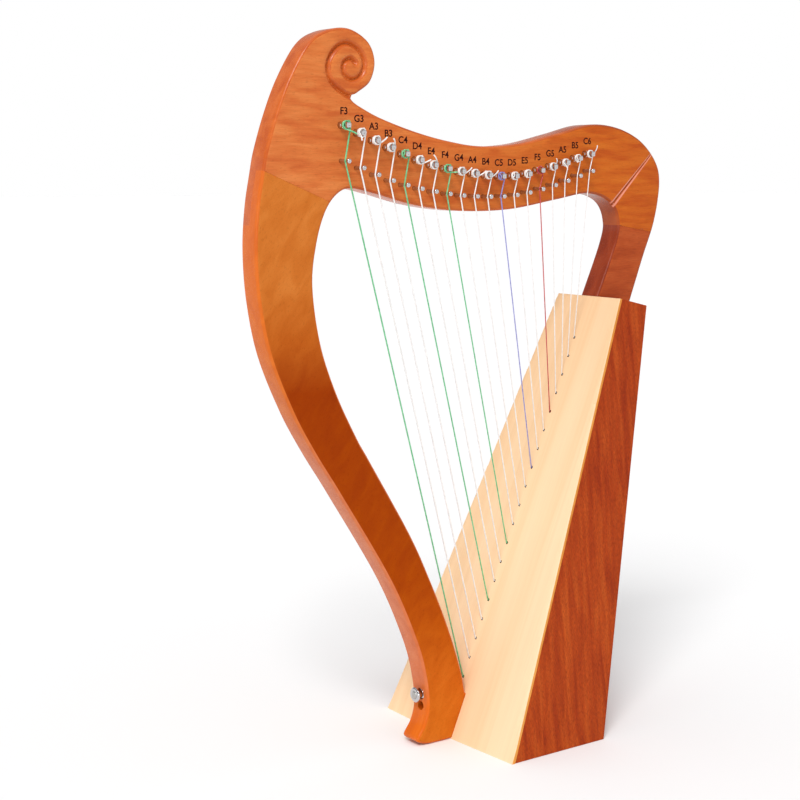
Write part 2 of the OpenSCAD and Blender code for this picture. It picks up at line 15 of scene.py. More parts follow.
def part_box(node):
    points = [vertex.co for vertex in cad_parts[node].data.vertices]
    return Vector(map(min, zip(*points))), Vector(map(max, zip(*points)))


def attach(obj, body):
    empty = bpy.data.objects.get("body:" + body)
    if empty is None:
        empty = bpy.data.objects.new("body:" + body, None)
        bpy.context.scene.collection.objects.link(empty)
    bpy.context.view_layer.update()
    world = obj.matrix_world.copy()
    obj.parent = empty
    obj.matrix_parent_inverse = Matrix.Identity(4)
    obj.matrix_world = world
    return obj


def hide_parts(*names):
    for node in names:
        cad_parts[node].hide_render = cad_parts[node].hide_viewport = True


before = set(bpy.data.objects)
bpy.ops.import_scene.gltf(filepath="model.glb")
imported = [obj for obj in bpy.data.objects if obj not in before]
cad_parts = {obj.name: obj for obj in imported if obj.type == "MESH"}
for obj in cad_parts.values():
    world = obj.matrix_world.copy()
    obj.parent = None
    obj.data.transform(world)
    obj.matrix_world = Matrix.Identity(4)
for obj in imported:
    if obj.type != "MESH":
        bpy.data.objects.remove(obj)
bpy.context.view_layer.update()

MM = 0.001
HARP = "harp"
PEG = "tuning_pin_"
NOTES = sorted(
    (n[len(PEG) :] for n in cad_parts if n.startswith(PEG)),
    key=lambda note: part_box(PEG + note)[0].x,
)


# ---- Places read from the frame ----


def box_mm(node):
    """Lowest and highest corner of a CAD node, in mm."""
    low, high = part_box(node)
    return np.array(low) / MM, np.array(high) / MM


def islands(node):
    """(lowest corner, highest corner) of each separate solid of a node, from left to right."""
    bm = bmesh.new()
    bm.from_mesh(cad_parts[node].data)
    bmesh.ops.remove_doubles(bm, verts=bm.verts, dist=1e-6)
    found = []
    seen = set()
    for start in bm.verts:
        if start in seen:
            continue
        group = []
        waiting = [start]
        seen.add(start)
        while waiting:
            v = waiting.pop()
            group.append(v.co)
            for e in v.link_edges:
                other = e.other_vert(v)
                if other not in seen:
                    seen.add(other)
                    waiting.append(other)
        points = np.array(group) / MM
        found.append((points.min(0), points.max(0)))
    bm.free()
    return sorted(found, key=lambda pair: pair[0][0])


def middle_xz(pair):
    low, high = pair
    return np.array([(low[0] + high[0]) / 2, (low[2] + high[2]) / 2])


PEG_BOXES = [box_mm(PEG + note) for note in NOTES]
PEG_AT = [middle_xz(pair) for pair in PEG_BOXES]
BRIDGE_BOXES = islands("bridge_pins")
BRIDGE_AT = [middle_xz(pair) for pair in BRIDGE_BOXES]
WINDING_BOXES = [box_mm("winding_" + note) for note in NOTES]
FACE_Y, BACK_Y = (corner[1] for corner in box_mm("neck"))
PEG_TIP_Y = PEG_BOXES[0][0][1]
BRIDGE_TIP_Y = BRIDGE_BOXES[0][0][1]
PEG_R = 2.5
BRIDGE_R = 1.5

# The CAD source's own values, which the frame doesn't give
BOARD_LENGTH = 391.0
BOARD_LEAN = math.radians(22.8)
BOARD_T = 3.0
CREASE_H = 3.0
CREASE_TOP_H = 0.4
FOOT_X = -20.0
FIRST_HOLE = 50.3
HOLE_STEP = 16.8
HOLE_R = 1.2
CAP_SLOPE = -math.tan(math.radians(13.5))
UP = np.array([math.sin(BOARD_LEAN), math.cos(BOARD_LEAN)])
INTO = np.array([math.cos(BOARD_LEAN), -math.sin(BOARD_LEAN)])
BOARD_FOOT = np.array([FOOT_X, 0.0])
BOARD_TOP = BOARD_FOOT + BOARD_LENGTH * UP


def crease(s):
    """Height of the soundboard's crease a distance s up it."""
    return CREASE_H + (CREASE_TOP_H - CREASE_H) * s / BOARD_LENGTH


def hole_mouth(i):
    s = FIRST_HOLE + HOLE_STEP * i
    return BOARD_FOOT + s * UP - crease(s) * INTO


# ---- Making objects ----


def new_piece(name, bm, materials, body=HARP, replaced=(), sharp=35.0):
    """A smooth-shaded object from a bmesh in mm, riding on a body."""
    bmesh.ops.scale(bm, vec=(MM, MM, MM), verts=bm.verts)
    mesh = bpy.data.meshes.new(name)
    bm.to_mesh(mesh)
    bm.free()
    for material in materials:
        mesh.materials.append(material)
    mesh.polygons.foreach_set("use_smooth", [True] * len(mesh.polygons))
    mesh.set_sharp_from_angle(angle=math.radians(sharp))
    obj = bpy.data.objects.new(name, mesh)
    bpy.context.scene.collection.objects.link(obj)
    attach(obj, body)
    if replaced:
        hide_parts(*replaced)
    return obj


def close_up(bm, dist=2e-3):
    """Welds a bmesh's parts together and turns its faces outwards."""
    bmesh.ops.remove_doubles(bm, verts=bm.verts, dist=dist)
    bmesh.ops.recalc_face_normals(bm, faces=bm.faces)


# ---- Plane geometry, on arrays of [x, z] ----


def curve(points, step):
    """A smooth curve through points, with a new point about every step mm."""
    p = np.array(points, float)
    p = np.vstack([2 * p[0] - p[1], p, 2 * p[-1] - p[-2]])
    out = []
    for k in range(1, len(p) - 2):
        a, b, c, d = p[k - 1 : k + 3]
        count = max(2, math.ceil(np.linalg.norm(c - b) / step))
        for t in np.arange(count) / count:
            out.append(
                0.5
                * (
                    2 * b
                    + (c - a) * t
                    + (2 * a - 5 * b + 4 * c - d) * t * t
                    + (3 * b - a - 3 * c + d) * t**3
                )
            )
    out.append(p[-2])
    return np.array(out)


def above(points, line):
    """How far points are over a line given as (x, z, slope)."""
    x, z, slope = line
    return points[:, 1] - (z + slope * (points[:, 0] - x))


def marked(loop, line, x_from, x_to):
    """The loop with a point added wherever the line crosses it between two x."""
    height = above(loop, line)
    out = []
    for k in range(len(loop)):
        nxt = (k + 1) % len(loop)
        out.append(loop[k])
        if height[k] * height[nxt] < 0:
            t = height[k] / (height[k] - height[nxt])
            p = loop[k] + t * (loop[nxt] - loop[k])
            if x_from < p[0] < x_to:
                out.append(p)
    return np.array(out)


JOINT_STEP = 3.0
EDGE_ROWS = [0.1, 0.3, 0.7, 1.2, 1.8, 2.5]
ROUND_R = 2.5


def cut_edge(a, b):
    """Points along a straight cut from a to b, closer together near its ends."""
    length = np.linalg.norm(b - a)
    count = max(2, round((length - 2 * ROUND_R) / JOINT_STEP))
    inner = np.linspace(ROUND_R, length - ROUND_R, count + 1)
    near = [d for d in EDGE_ROWS if d < ROUND_R]
    along = sorted([*near, *inner, *[length - d for d in near]])
    return np.array([a + (b - a) * d / length for d in along])


def parted(loop, line, x_from, x_to):
    """The parts of a marked loop over and under a line, each closed by a straight cut."""
    on_line = np.abs(above(loop, line)) < 1e-7
    inside = (loop[:, 0] > x_from) & (loop[:, 0] < x_to)
    i, j = np.flatnonzero(on_line & inside)
    one = loop[i : j + 1]
    two = np.vstack([loop[j:], loop[: i + 1]])
    parts = []
    for chain in (one, two):
        closed = np.vstack([chain, cut_edge(chain[-1], chain[0])])
        parts.append((above(chain, line).mean(), closed))
    parts.sort(key=lambda pair: -pair[0])
    return parts[0][1], parts[1][1]


def is_inside(points, loop):
    """Which points are inside a closed loop."""
    a = loop
    b = np.roll(loop, -1, axis=0)
    count = np.zeros(len(points), int)
    for k in range(len(a)):
        (x0, z0), (x1, z1) = a[k], b[k]
        if z0 == z1:
            continue
        crosses = (points[:, 1] > min(z0, z1)) & (points[:, 1] <= max(z0, z1))
        at = x0 + (points[:, 1] - z0) * (x1 - x0) / (z1 - z0)
        count += crosses & (points[:, 0] < at)
    return count % 2 == 1


def distance_to(points, a, b):
    """Distance from each point to the nearest of the segments from a to b."""
    best = np.full(len(points), 1e9)
    d = b - a
    size = np.maximum((d * d).sum(1), 1e-12)
    for start in range(0, len(points), 2000):
        p = points[start : start + 2000, None, :]
        t = np.clip(((p - a) * d).sum(2) / size, 0, 1)
        gap = p - (a + t[:, :, None] * d)
        best[start : start + 2000] = np.sqrt((gap * gap).sum(2)).min(1)
    return best


def to_path(points, path):
    return distance_to(points, path[:-1], path[1:])


def to_loop(points, loop):
    return distance_to(points, loop, np.roll(loop, -1, axis=0))


def circle(centre, r, count):
    turn = np.arange(count) * 2 * math.pi / count
    return centre + r * np.stack([np.cos(turn), np.sin(turn)], axis=1)


def hex_grid(low, high, step):
    rows = np.arange(low[1], high[1], step * 0.866)
    out = []
    for k, z in enumerate(rows):
        xs = np.arange(low[0] + (k % 2) * step / 2, high[0], step)
        out.append(np.stack([xs, np.full(len(xs), z)], axis=1))
    return np.vstack(out)


class Plan:
    """Points and fixed edges of a flat drawing, which is then cut into triangles."""

    def __init__(self):
        self.points = []
        self.edges = []

    def add(self, points, chain=False, closed=False):
        first = len(self.points)
        self.points.extend(points)
        last = len(self.points) - 1
        if chain:
            self.edges.extend((k, k + 1) for k in range(first, last))
        if closed:
            self.edges.append((last, first))

    def triangles(self):
        coords = [Vector(p) for p in self.points]
        found = geometry.delaunay_2d_cdt(coords, self.edges, [], 0, 1e-5, False)
        points = np.array([tuple(v) for v in found[0]])
        return points, np.array([tuple(f) for f in found[2]])


# ---- Outline of the wooden frame: the CAD source's own points ----

PILLAR_OUTER = [
    (-22, 0.3), (-36, 0), (-50, 1.2), (-57.7, 6), (-50.7, 17.3), (-47.1, 32), (-49.9, 56.6),
    (-59.4, 88.4), (-85.2, 143), (-131.8, 216.5), (-155.4, 252.1), (-174.6, 285.1),
    (-193.4, 328.5), (-202.6, 369.9), (-205.3, 408), (-203.1, 440), (-198.4, 466),
]
SCROLL = [
    (-198.4, 466), (-195.3, 480.2), (-186.7, 506.2), (-175, 533), (-158.5, 558.6),
    (-142, 569), (-122, 571.4), (-104.3, 562.5), (-98, 548), (-102.3, 533.2),
    (-113.2, 525), (-118, 522.6),
]
NECK_TOP = [
    (-119.2, 520), (-117.6, 517.6), (-109.5, 513.2), (-92, 505.9), (-60, 496.4),
    (-27, 489.5), (6, 485.9), (45, 488.4), (86, 497), (122, 504.9), (153.2, 502.9),
    (180.5, 492.7), (199.5, 475.2), (205.3, 456), (200, 424), (186.2, 390), (168.2, 344),
]
INNER = [
    (-8, 37), (-13, 59), (-26.6, 97.7), (-45.9, 141.3), (-65.8, 180.3), (-104.1, 242.7),
    (-116, 261.9), (-134.5, 297.8), (-148.7, 336.8), (-155.3, 380), (-151.8, 411),
    (-143.7, 435.4), (-132.9, 448.8), (-120, 453), (-96, 448.5), (-60, 439.9),
    (-16, 434.8), (36, 435.5), (87, 443), (121, 447.7), (145, 441), (155.2, 425.7),
    (152.6, 405.5), (128, 350),
]
SPIRAL = [
    (-116.2, 546.6), (-120.5, 549.4), (-126.6, 545.6), (-126.4, 538.4), (-120.5, 534.3),
    (-113.4, 535.8), (-108.6, 542), (-108.6, 550), (-113.6, 556.6), (-122.4, 560.4),
    (-131.2, 558.2), (-138, 551.2), (-141, 543.2), (-139.2, 534.4), (-133, 527.6),
    (-124.8, 523), (-118.4, 521.4),
]
LAP_FRONT = (-197.0, 466.0, -0.4)
LAP_BACK = (-203.0, 426.0, -0.4)
KNEE = (157.5, 420.2, -0.165)
PILLAR_SIDE = (-260.0, 60.0)
POST_SIDE = (110.0, 240.0)
RIDGE_SINK = 0.35
BOARD_LINE = (FOOT_X - CREASE_H / math.cos(BOARD_LEAN) + RIDGE_SINK, 0.0)
CAP_LINE = (BOARD_TOP[0], BOARD_TOP[1], CAP_SLOPE)


def ridge_line():
    """The soundboard's crease in the side view, as (x, z, slope)."""
    top = BOARD_TOP - CREASE_TOP_H * INTO
    x, z = BOARD_LINE
    return (x, z, (top[1] - z) / (top[0] + RIDGE_SINK - x))


OUTLINE_STEP = 2.0
FRAME_LOOP = np.vstack(
    [
        curve(PILLAR_OUTER, OUTLINE_STEP)[:-1],
        curve(SCROLL, OUTLINE_STEP / 2),
        curve(NECK_TOP, OUTLINE_STEP),
        curve(INNER, OUTLINE_STEP)[::-1],
        [(-5, 35), (-19, 0)],
    ]
)
for line, side in (
    (LAP_FRONT, PILLAR_SIDE),
    (LAP_BACK, PILLAR_SIDE),
    (KNEE, POST_SIDE),
    (CAP_LINE, POST_SIDE),
    (ridge_line(), (-60, 20)),
):
    FRAME_LOOP = marked(FRAME_LOOP, line, *side)
SPIRAL_PATH = curve(SPIRAL, 0.7)
SCROLL_EYE = np.array([-121.0, 545.0])
SCROLL_SPREAD = 29.0


def edge_rows():
    """Rows of points inside the frame's outline, as (distance, chain of points)."""
    loop = FRAME_LOOP
    step = np.roll(loop, -1, axis=0) - loop
    step /= np.linalg.norm(step, axis=1)[:, None]
    before = np.roll(step, 1, axis=0)
    # The outline runs clockwise in [x, z], so its inside is on the right
    rows = []
    for d in EDGE_ROWS:
        out = []
        for k, p in enumerate(loop):
            a0 = math.atan2(-before[k][0], before[k][1])
            a1 = math.atan2(-step[k][0], step[k][1])
            turn = (a1 - a0 + math.pi) % (2 * math.pi) - math.pi
            fan = [0.5]
            if turn > math.radians(20):
                fan = np.linspace(0, 1, 2 + int(turn / math.radians(15)))
            for share in fan:
                a = a0 + turn * share
                out.append(p + d * np.array([math.cos(a), math.sin(a)]))
        rows.append((d, np.array(out)))
    return rows


FRAME_ROWS = edge_rows()


def free_segments():
    """Ends of the outline's segments that are outside the soundbox."""
    a = FRAME_LOOP
    b = np.roll(FRAME_LOOP, -1, axis=0)
    keep = np.ones(len(a), bool)
    for ends in (a, b):
        in_board = (above(ends, ridge_line()) < -1e-6) & (ends[:, 0] < 60)
        in_box = (above(ends, CAP_LINE) < -1e-6) & (ends[:, 0] > 60)
        keep &= ~(in_board | in_box)
    return a[keep], b[keep]


FREE = free_segments()
JOINT_R = 0.35
JOINT_ROWS = [0.12, 0.37]
GRID_STEP = 4.0
FINE_STEP = 0.75
BORE_SIDES = 24
BORE_CHAMFER = 0.3


def quarter_round(distance, r):
    """How far a rounded edge of radius r has dropped at a distance from the edge."""
    reach = np.clip(r - distance, 0, r)
    return r - np.sqrt(np.maximum(r * r - reach * reach, 0))


def joint_segments(loop):
    """Ends of the loop's segments that are cuts and not part of the free outline."""
    a = loop
    b = np.roll(loop, -1, axis=0)
    cut = distance_to((a + b) / 2, *FREE) > 1e-4
    return a[cut], b[cut]


SPIRAL_DEPTH = 2.0
SPIRAL_R = 1.25
HOLLOW_DEPTH = 1.3
HOLLOW_R = 3.0
# The cut across the shoulder: its ends, half widths and depths there
SHOULDER_ENDS = np.array([[194.0, 481.5], [149.7, 439.0]])
SHOULDER_HALF_W = (1.1, 2.8)
SHOULDER_DEPTH = (1.0, 2.4)
SHOULDER_LINES = (0.06, 0.2, 0.4, 0.6, 0.8, 1.0)


def shoulder_place(points):
    """Distance from the shoulder cut's line in half widths, and the cut's depth there."""
    a, b = SHOULDER_ENDS
    d = (b - a) / np.linalg.norm(b - a)
    along = (points - a) @ d / np.linalg.norm(b - a)
    off = np.abs((points - a) @ np.array([-d[1], d[0]]))
    share = np.clip(along, -0.05, 1.1)
    half = SHOULDER_HALF_W[0] + (SHOULDER_HALF_W[1] - SHOULDER_HALF_W[0]) * share
    depth = SHOULDER_DEPTH[0] + (SHOULDER_DEPTH[1] - SHOULDER_DEPTH[0]) * share
    return off / half, depth


def shoulder_cut(points):
    """Depth of the cut across the shoulder, a V with rounded lips."""
    off, depth = shoulder_place(points)
    return depth * quarter_round(np.minimum(off, 1), 1)


def relief(points):
    """Depth of the spiral and its hollow shoulders."""
    near = np.linalg.norm(points - SCROLL_EYE, axis=1) < SCROLL_SPREAD + 8
    depth = np.zeros(len(points))
    if near.any():
        d = to_path(points[near], SPIRAL_PATH)
        depth[near] = SPIRAL_DEPTH * np.exp(-((d / SPIRAL_R) ** 2))
        depth[near] += HOLLOW_DEPTH * np.exp(-((d / HOLLOW_R) ** 2))
    return depth


def bore_chamfer(points, bores):
    depth = np.zeros(len(points))
    for centre, r, _ in bores:
        d = np.linalg.norm(points - centre, axis=1) - r
        depth = np.maximum(depth, np.clip(BORE_CHAMFER - d, 0, BORE_CHAMFER))
    return depth


def half_triangles(loop, bores, carved):
    """Triangles of one face of a frame piece, as (points, triangles)."""
    plan = Plan()
    plan.add(loop, chain=True, closed=True)
    joints = joint_segments(loop)
    for d, row in FRAME_ROWS:
        keep = is_inside(row, loop)
        keep &= np.abs(distance_to(row, *FREE) - d) < 0.06 * d + 0.01
        if len(joints[0]):
            keep &= distance_to(row, *joints) > 0.4
        for run in np.split(np.arange(len(row)), np.flatnonzero(~keep)):
            run = [k for k in run if keep[k]]
            if run:
                plan.add(row[run], chain=True)
    for d in JOINT_ROWS:
        for a, b in zip(*joints):
            across = np.array([b[1] - a[1], a[0] - b[0]]) / np.linalg.norm(b - a)
            pair = np.array([(a + b) / 2 + d * across, (a + b) / 2 - d * across])
            pair = pair[is_inside(pair, loop)]
            plan.add(pair[distance_to(pair, *FREE) > 0.05])
    low = loop.min(0)
    high = loop.max(0)
    grid = hex_grid(low, high, GRID_STEP)
    if carved:
        fine = hex_grid(SCROLL_EYE - SCROLL_SPREAD, SCROLL_EYE + SCROLL_SPREAD, FINE_STEP)
        fine = fine[np.linalg.norm(fine - SCROLL_EYE, axis=1) < SCROLL_SPREAD]
        grid = grid[np.linalg.norm(grid - SCROLL_EYE, axis=1) > SCROLL_SPREAD + 1]
        a, b = SHOULDER_ENDS
        d = (b - a) / np.linalg.norm(b - a)
        across = np.array([-d[1], d[0]])
        for share in (*SHOULDER_LINES, *[-x for x in SHOULDER_LINES]):
            h = share * (np.array(SHOULDER_HALF_W) - 0.02)
            ends = np.array([a - 2 * d + across * h[0], b + 3 * d + across * h[1]])
            line = ends[0] + (ends[1] - ends[0]) * np.linspace(0, 1, 60)[:, None]
            line = line[is_inside(line, loop)]
            line = line[distance_to(line, *FREE) > 0.3]
            plan.add(line, chain=True)
        grid = grid[shoulder_cut(grid) == 0]
        grid = np.vstack([grid, fine])
    grid = grid[is_inside(grid, loop)]
    grid = grid[distance_to(grid, *FREE) > 3.1]
    if len(joints[0]):
        grid = grid[distance_to(grid, *joints) > 1.2]
    for centre, r, _ in bores:
        grid = grid[np.linalg.norm(grid - centre, axis=1) > r + 1.9]
        for extra in (0, BORE_CHAMFER):
            plan.add(circle(centre, r + extra, BORE_SIDES), chain=True, closed=True)
        plan.add(circle(centre, r + 1.4, BORE_SIDES))
    plan.add(grid)
    points, triangles = plan.triangles()
    middle = points[triangles].mean(1)
    keep = is_inside(middle, loop)
    for centre, r, _ in bores:
        keep &= np.linalg.norm(middle - centre, axis=1) > r * 0.99
    return points, triangles[keep]


def open_edges(triangles):
    """The directed edges of a set of triangles that only one of them has."""
    edges = {}
    for t in triangles:
        for k in range(3):
            edges[(t[k], t[(k + 1) % 3])] = True
    return [e for e in edges if (e[1], e[0]) not in edges]


def frame_shell(front_loop, back_loop, bores=(), carved=False):
    """A piece of the wooden frame with rounded edges, as a closed bmesh."""
    bm = bmesh.new()
    for loop, side in ((front_loop, -1), (back_loop, 1)):
        own = bores if side < 0 else []
        points, triangles = half_triangles(loop, own, carved)
        drop = quarter_round(distance_to(points, *FREE), ROUND_R)
        joints = joint_segments(loop)
        if len(joints[0]):
            near = quarter_round(distance_to(points, *joints), JOINT_R)
            drop = np.maximum(drop, near)
        drop += bore_chamfer(points, own)
        if carved:
            drop += relief(points)
            if side < 0:
                drop += shoulder_cut(points)
        y = FACE_Y + drop if side < 0 else BACK_Y - drop
        verts = [bm.verts.new((p[0], h, p[1])) for p, h in zip(points, y)]
        for t in triangles:
            bm.faces.new([verts[k] for k in t])
        add_walls(bm, points, verts, open_edges(triangles), own)
    add_step_faces(bm, front_loop, back_loop)
    close_up(bm)
    return bm


def add_walls(bm, points, verts, edges, bores):
    """Walls from the rim of a face down to y = 0, or down a bore to its floor."""
    foot = {}
    for a, b in edges:
        y = 0.0
        for centre, r, depth in bores:
            if abs(np.linalg.norm(points[a] - centre) - r) < 1e-2:
                y = FACE_Y + depth
        for k in (a, b):
            if k not in foot:
                foot[k] = bm.verts.new((points[k][0], y, points[k][1]))
        bm.faces.new([verts[a], foot[a], foot[b], verts[b]])
    for centre, r, depth in bores:
        ring = [k for k in foot if abs(np.linalg.norm(points[k] - centre) - r) < 1e-2]
        ring.sort(key=lambda k: math.atan2(*(points[k] - centre)))
        bm.faces.new([foot[k] for k in ring])


def add_step_faces(bm, front_loop, back_loop):
    """Faces at y = 0 where only one of the two halves of a lapped piece has wood."""
    if len(front_loop) == len(back_loop) and np.allclose(front_loop, back_loop):
        return
    plan = Plan()
    plan.add(front_loop, chain=True, closed=True)
    plan.add(back_loop, chain=True, closed=True)
    points, triangles = plan.triangles()
    middle = points[triangles].mean(1)
    keep = is_inside(middle, front_loop) != is_inside(middle, back_loop)
    verts = {}
    for t in triangles[keep]:
        for k in t:
            if k not in verts:
                verts[k] = bm.verts.new((points[k][0], 0.0, points[k][1]))
        bm.faces.new([verts[k] for k in t])


def frame_loops():
    """Front and back outline of the neck, the pillar and the post."""
    loops = {}
    upper_f, lower_f = parted(FRAME_LOOP, LAP_FRONT, *PILLAR_SIDE)
    upper_b, lower_b = parted(FRAME_LOOP, LAP_BACK, *PILLAR_SIDE)
    ridge = ridge_line()
    loops["pillar"] = (parted(lower_f, ridge, -60, 20)[0], parted(lower_b, ridge, -60, 20)[0])
    neck_f, post = parted(upper_f, KNEE, *POST_SIDE)
    neck_b, _ = parted(upper_b, KNEE, *POST_SIDE)
    loops["neck"] = (neck_f, neck_b)
    post = parted(post, CAP_LINE, *POST_SIDE)[0]
    loops["shoulder_post"] = (post, post)
    return loops


# ---- Materials ----


def put(tree, kind, inputs=None, **settings):
    """A node with its settings. An input that is a socket is linked, and another is set."""
    node = tree.nodes.new(kind)
    for key, value in settings.items():
        setattr(node, key, value)
    for key, value in (inputs or {}).items():
        if isinstance(value, bpy.types.NodeSocket):
            tree.links.new(value, node.inputs[key])
        else:
            node.inputs[key].default_value = value
    return node


def material(name, **values):
    """A new material, as (material, node tree, its shader)."""
    made = bpy.data.materials.new(name)
    made.use_nodes = True
    tree = made.node_tree
    shader = next(n for n in tree.nodes if n.type == "BSDF_PRINCIPLED")
    for key, value in values.items():
        shader.inputs[key.replace("_", " ")].default_value = value
    return made, tree, shader


def srgb(r, g, b):
    """A colour given as 0 to 255, for a node."""
    return (*[((c / 255 + 0.055) / 1.055) ** 2.4 if c > 10 else c / 3295 for c in (r, g, b)], 1)


def ramp(tree, value, stops):
    """A colour ramp with (place, colour) stops."""
    node = put(tree, "ShaderNodeValToRGB", {"Fac": value})
    elements = node.color_ramp.elements
    while len(elements) < len(stops):
        elements.new(0.5)
    for element, (place, colour) in zip(elements, stops):
        element.position = place
        element.color = colour
    return node.outputs["Color"]


def grain_space(tree, turn, stretch):
    """Object coordinates in mm turned so that the grain is along X, and squeezed along it."""
    at = put(tree, "ShaderNodeTexCoord").outputs["Object"]
    turned = put(
        tree, "ShaderNodeMapping", {"Vector": at, "Rotation": turn, "Scale": (1000, 1000, 1000)}
    ).outputs["Vector"]
    return put(
        tree, "ShaderNodeMapping", {"Vector": turned, "Scale": (stretch, 1, 1)}
    ).outputs["Vector"]


def noise(tree, vector, scale, detail=3.0, distortion=0.0, rough=0.5):
    return put(
        tree,
        "ShaderNodeTexNoise",
        {
            "Vector": vector,
            "Scale": scale,
            "Detail": detail,
            "Roughness": rough,
            "Distortion": distortion,
        },
    ).outputs["Fac"]


def mapped(tree, value, low, high, to_low, to_high):
    return put(
        tree,
        "ShaderNodeMapRange",
        {
            "Value": value,
            "From Min": low,
            "From Max": high,
            "To Min": to_low,
            "To Max": to_high,
        },
    ).outputs["Result"]


def mixed(tree, blend, share, a, b):
    node = put(tree, "ShaderNodeMix", data_type="RGBA", blend_type=blend)
    for socket, value in ((node.inputs[0], share), (node.inputs[6], a), (node.inputs[7], b)):
        if isinstance(value, bpy.types.NodeSocket):
            tree.links.new(value, socket)
        else:
            socket.default_value = value
    return node.outputs[2]


def grey(tree, value):
    """A number as a grey colour."""
    return ramp(tree, value, [(0, (0, 0, 0, 1)), (1, (1, 1, 1, 1))])


def tinted(tree, axis, stops):
    """A colour multiplier that changes along an axis, from (place in mm, red, green, blue)
    stops. It carries the painted shade and painted sheen of the frame's edge woods, and darker
    and lighter stretches on the other woods.
    """
    at = put(tree, "ShaderNodeTexCoord").outputs["Object"]
    place = put(tree, "ShaderNodeSeparateXYZ", {"Vector": at}).outputs[axis]
    low, high = stops[0][0], stops[-1][0]
    along = mapped(tree, place, low * MM, high * MM, 0, 1)
    return ramp(tree, along, [((x - low) / (high - low), (*c, 1)) for x, *c in stops])


def wood(
    name,
    colours,
    turn=(0, 0, 0),
    figure=0.05,
    stretch=0.12,
    fibre=1.6,
    fibre_stretch=0.04,
    fibre_depth=0.25,
    pores=0.0,
    pore_scale=0.9,
    rings=0.0,
    ring_scale=0.3,
    gloss=0.34,
    coat=0.02,
    specular=0.1,
    bump=0.06,
    tint=None,
):
    """Varnished wood, from three colours of 0 to 255. The grain runs along X after the turn."""
    made, tree, shader = material(name)
    shader.inputs["Specular IOR Level"].default_value = specular
    shader.inputs["Coat Weight"].default_value = coat
    shader.inputs["Coat Roughness"].default_value = 0.12
    wide = grain_space(tree, turn, stretch)
    fine = grain_space(tree, turn, fibre_stretch)
    low = noise(tree, wide, figure, 4.0, 0.6)
    dark, middle, light = (srgb(*c) for c in colours)
    colour = ramp(tree, low, [(0.32, dark), (0.5, middle), (0.68, light)])
    if rings:
        wave = put(
            tree,
            "ShaderNodeTexWave",
            {"Vector": wide, "Scale": ring_scale, "Distortion": 2.0, "Detail": 2.0},
            bands_direction="Z",
        ).outputs["Fac"]
        shade = grey(tree, mapped(tree, wave, 0, 1, 1 - rings, 1))
        colour = mixed(tree, "MULTIPLY", 1.0, colour, shade)
    fibres = noise(tree, fine, fibre, 4.0)
    streak = grey(tree, mapped(tree, fibres, 0.3, 0.7, 1 - fibre_depth, 1))
    colour = mixed(tree, "MULTIPLY", 1.0, colour, streak)
    if pores:
        spots = noise(tree, grain_space(tree, turn, 0.2), pore_scale, 2.0)
        spot = mapped(tree, spots, 0.58, 0.7, 0, pores)
        colour = mixed(tree, "MIX", spot, colour, tuple(c * 0.45 for c in dark[:3]) + (1,))
    if tint:
        colour = mixed(tree, "MULTIPLY", 1.0, colour, tinted(tree, *tint))
    tree.links.new(colour, shader.inputs["Base Color"])
    rough = mapped(tree, fibres, 0.3, 0.7, gloss + 0.1, gloss)
    tree.links.new(rough, shader.inputs["Roughness"])
    normal = put(
        tree, "ShaderNodeBump", {"Height": fibres, "Strength": bump, "Distance": 0.0004}
    )
    tree.links.new(normal.outputs["Normal"], shader.inputs["Normal"])
    return made


def metal(name, colour, roughness, scratch=0.03):
    made, tree, shader = material(name, Metallic=1.0)
    at = grain_space(tree, (0, 0, 0), 1.0)
    marks = noise(tree, at, 1.5, 5.0)
    dull = tuple(c * 0.9 for c in colour[:3]) + (1,)
    tone = mixed(tree, "MIX", mapped(tree, marks, 0.3, 0.7, 0, 1), colour, dull)
    tree.links.new(tone, shader.inputs["Base Color"])
    rough = mapped(tree, marks, 0.3, 0.7, roughness - scratch, roughness + scratch)
    tree.links.new(rough, shader.inputs["Roughness"])
    return made


def nylon(name, colour, dark):
    made, tree, shader = material(name, Roughness=0.3)
    shader.inputs["Subsurface Weight"].default_value = 0.0
    shader.inputs["Coat Weight"].default_value = 0.3
    at = grain_space(tree, (0, 0, 0), 1.0)
    shift = noise(tree, at, 0.4, 2.0)
    tone = ramp(tree, shift, [(0.3, dark), (0.7, colour)])
    tree.links.new(tone, shader.inputs["Base Color"])
    return made


UPRIGHT = (0, math.radians(90), 0)
ALONG_BOARD = (0, math.radians(90) - BOARD_LEAN, 0)
PILLAR_TURN = (0, math.radians(55), 0)


def share(r, g, b):
    """A colour that dims what it multiplies."""
    return (r, g, b, 1)


NECK_WOOD = wood(
    "neck wood",
    ((204, 100, 48), (216, 117, 59), (224, 130, 70)),
    figure=0.16,
    stretch=0.16,
    fibre=1.3,
    fibre_stretch=0.07,
    fibre_depth=0.14,
    pores=0.3,
    pore_scale=1.3,
    tint=("X", [(-210, 0.97, 1, 1), (-60, 0.96, 0.92, 0.75),
                (120, 0.83, 0.67, 0.2), (205, 0.76, 0.57, 0.16)]),
)
# Glossier side-grain wood for the neck's walls and rounded edges; its tint along X darkens it as
# painted shade, most round x = 135 where the knee's inner wall faces down.
NECK_EDGE_SHADED = wood(
    "neck edge wood",
    ((190, 84, 30), (202, 97, 37), (212, 108, 46)),
    figure=0.1,
    fibre_depth=0.14,
    gloss=0.2,
    specular=0.25,
    tint=("X", [(-210, 1, 1, 1), (60, 0.96, 0.95, 0.95),
                (135, 0.6, 0.5, 0.5), (205, 0.7, 0.65, 0.6)]),
)
# Pale pink painted highlight for the rounded lips of the shoulder cut
LIP_PAINTED_HIGHLIGHT = wood(
    "lip wood",
    ((222, 132, 108), (230, 142, 116), (236, 150, 124)),
    gloss=0.2,
    specular=0.3,
)
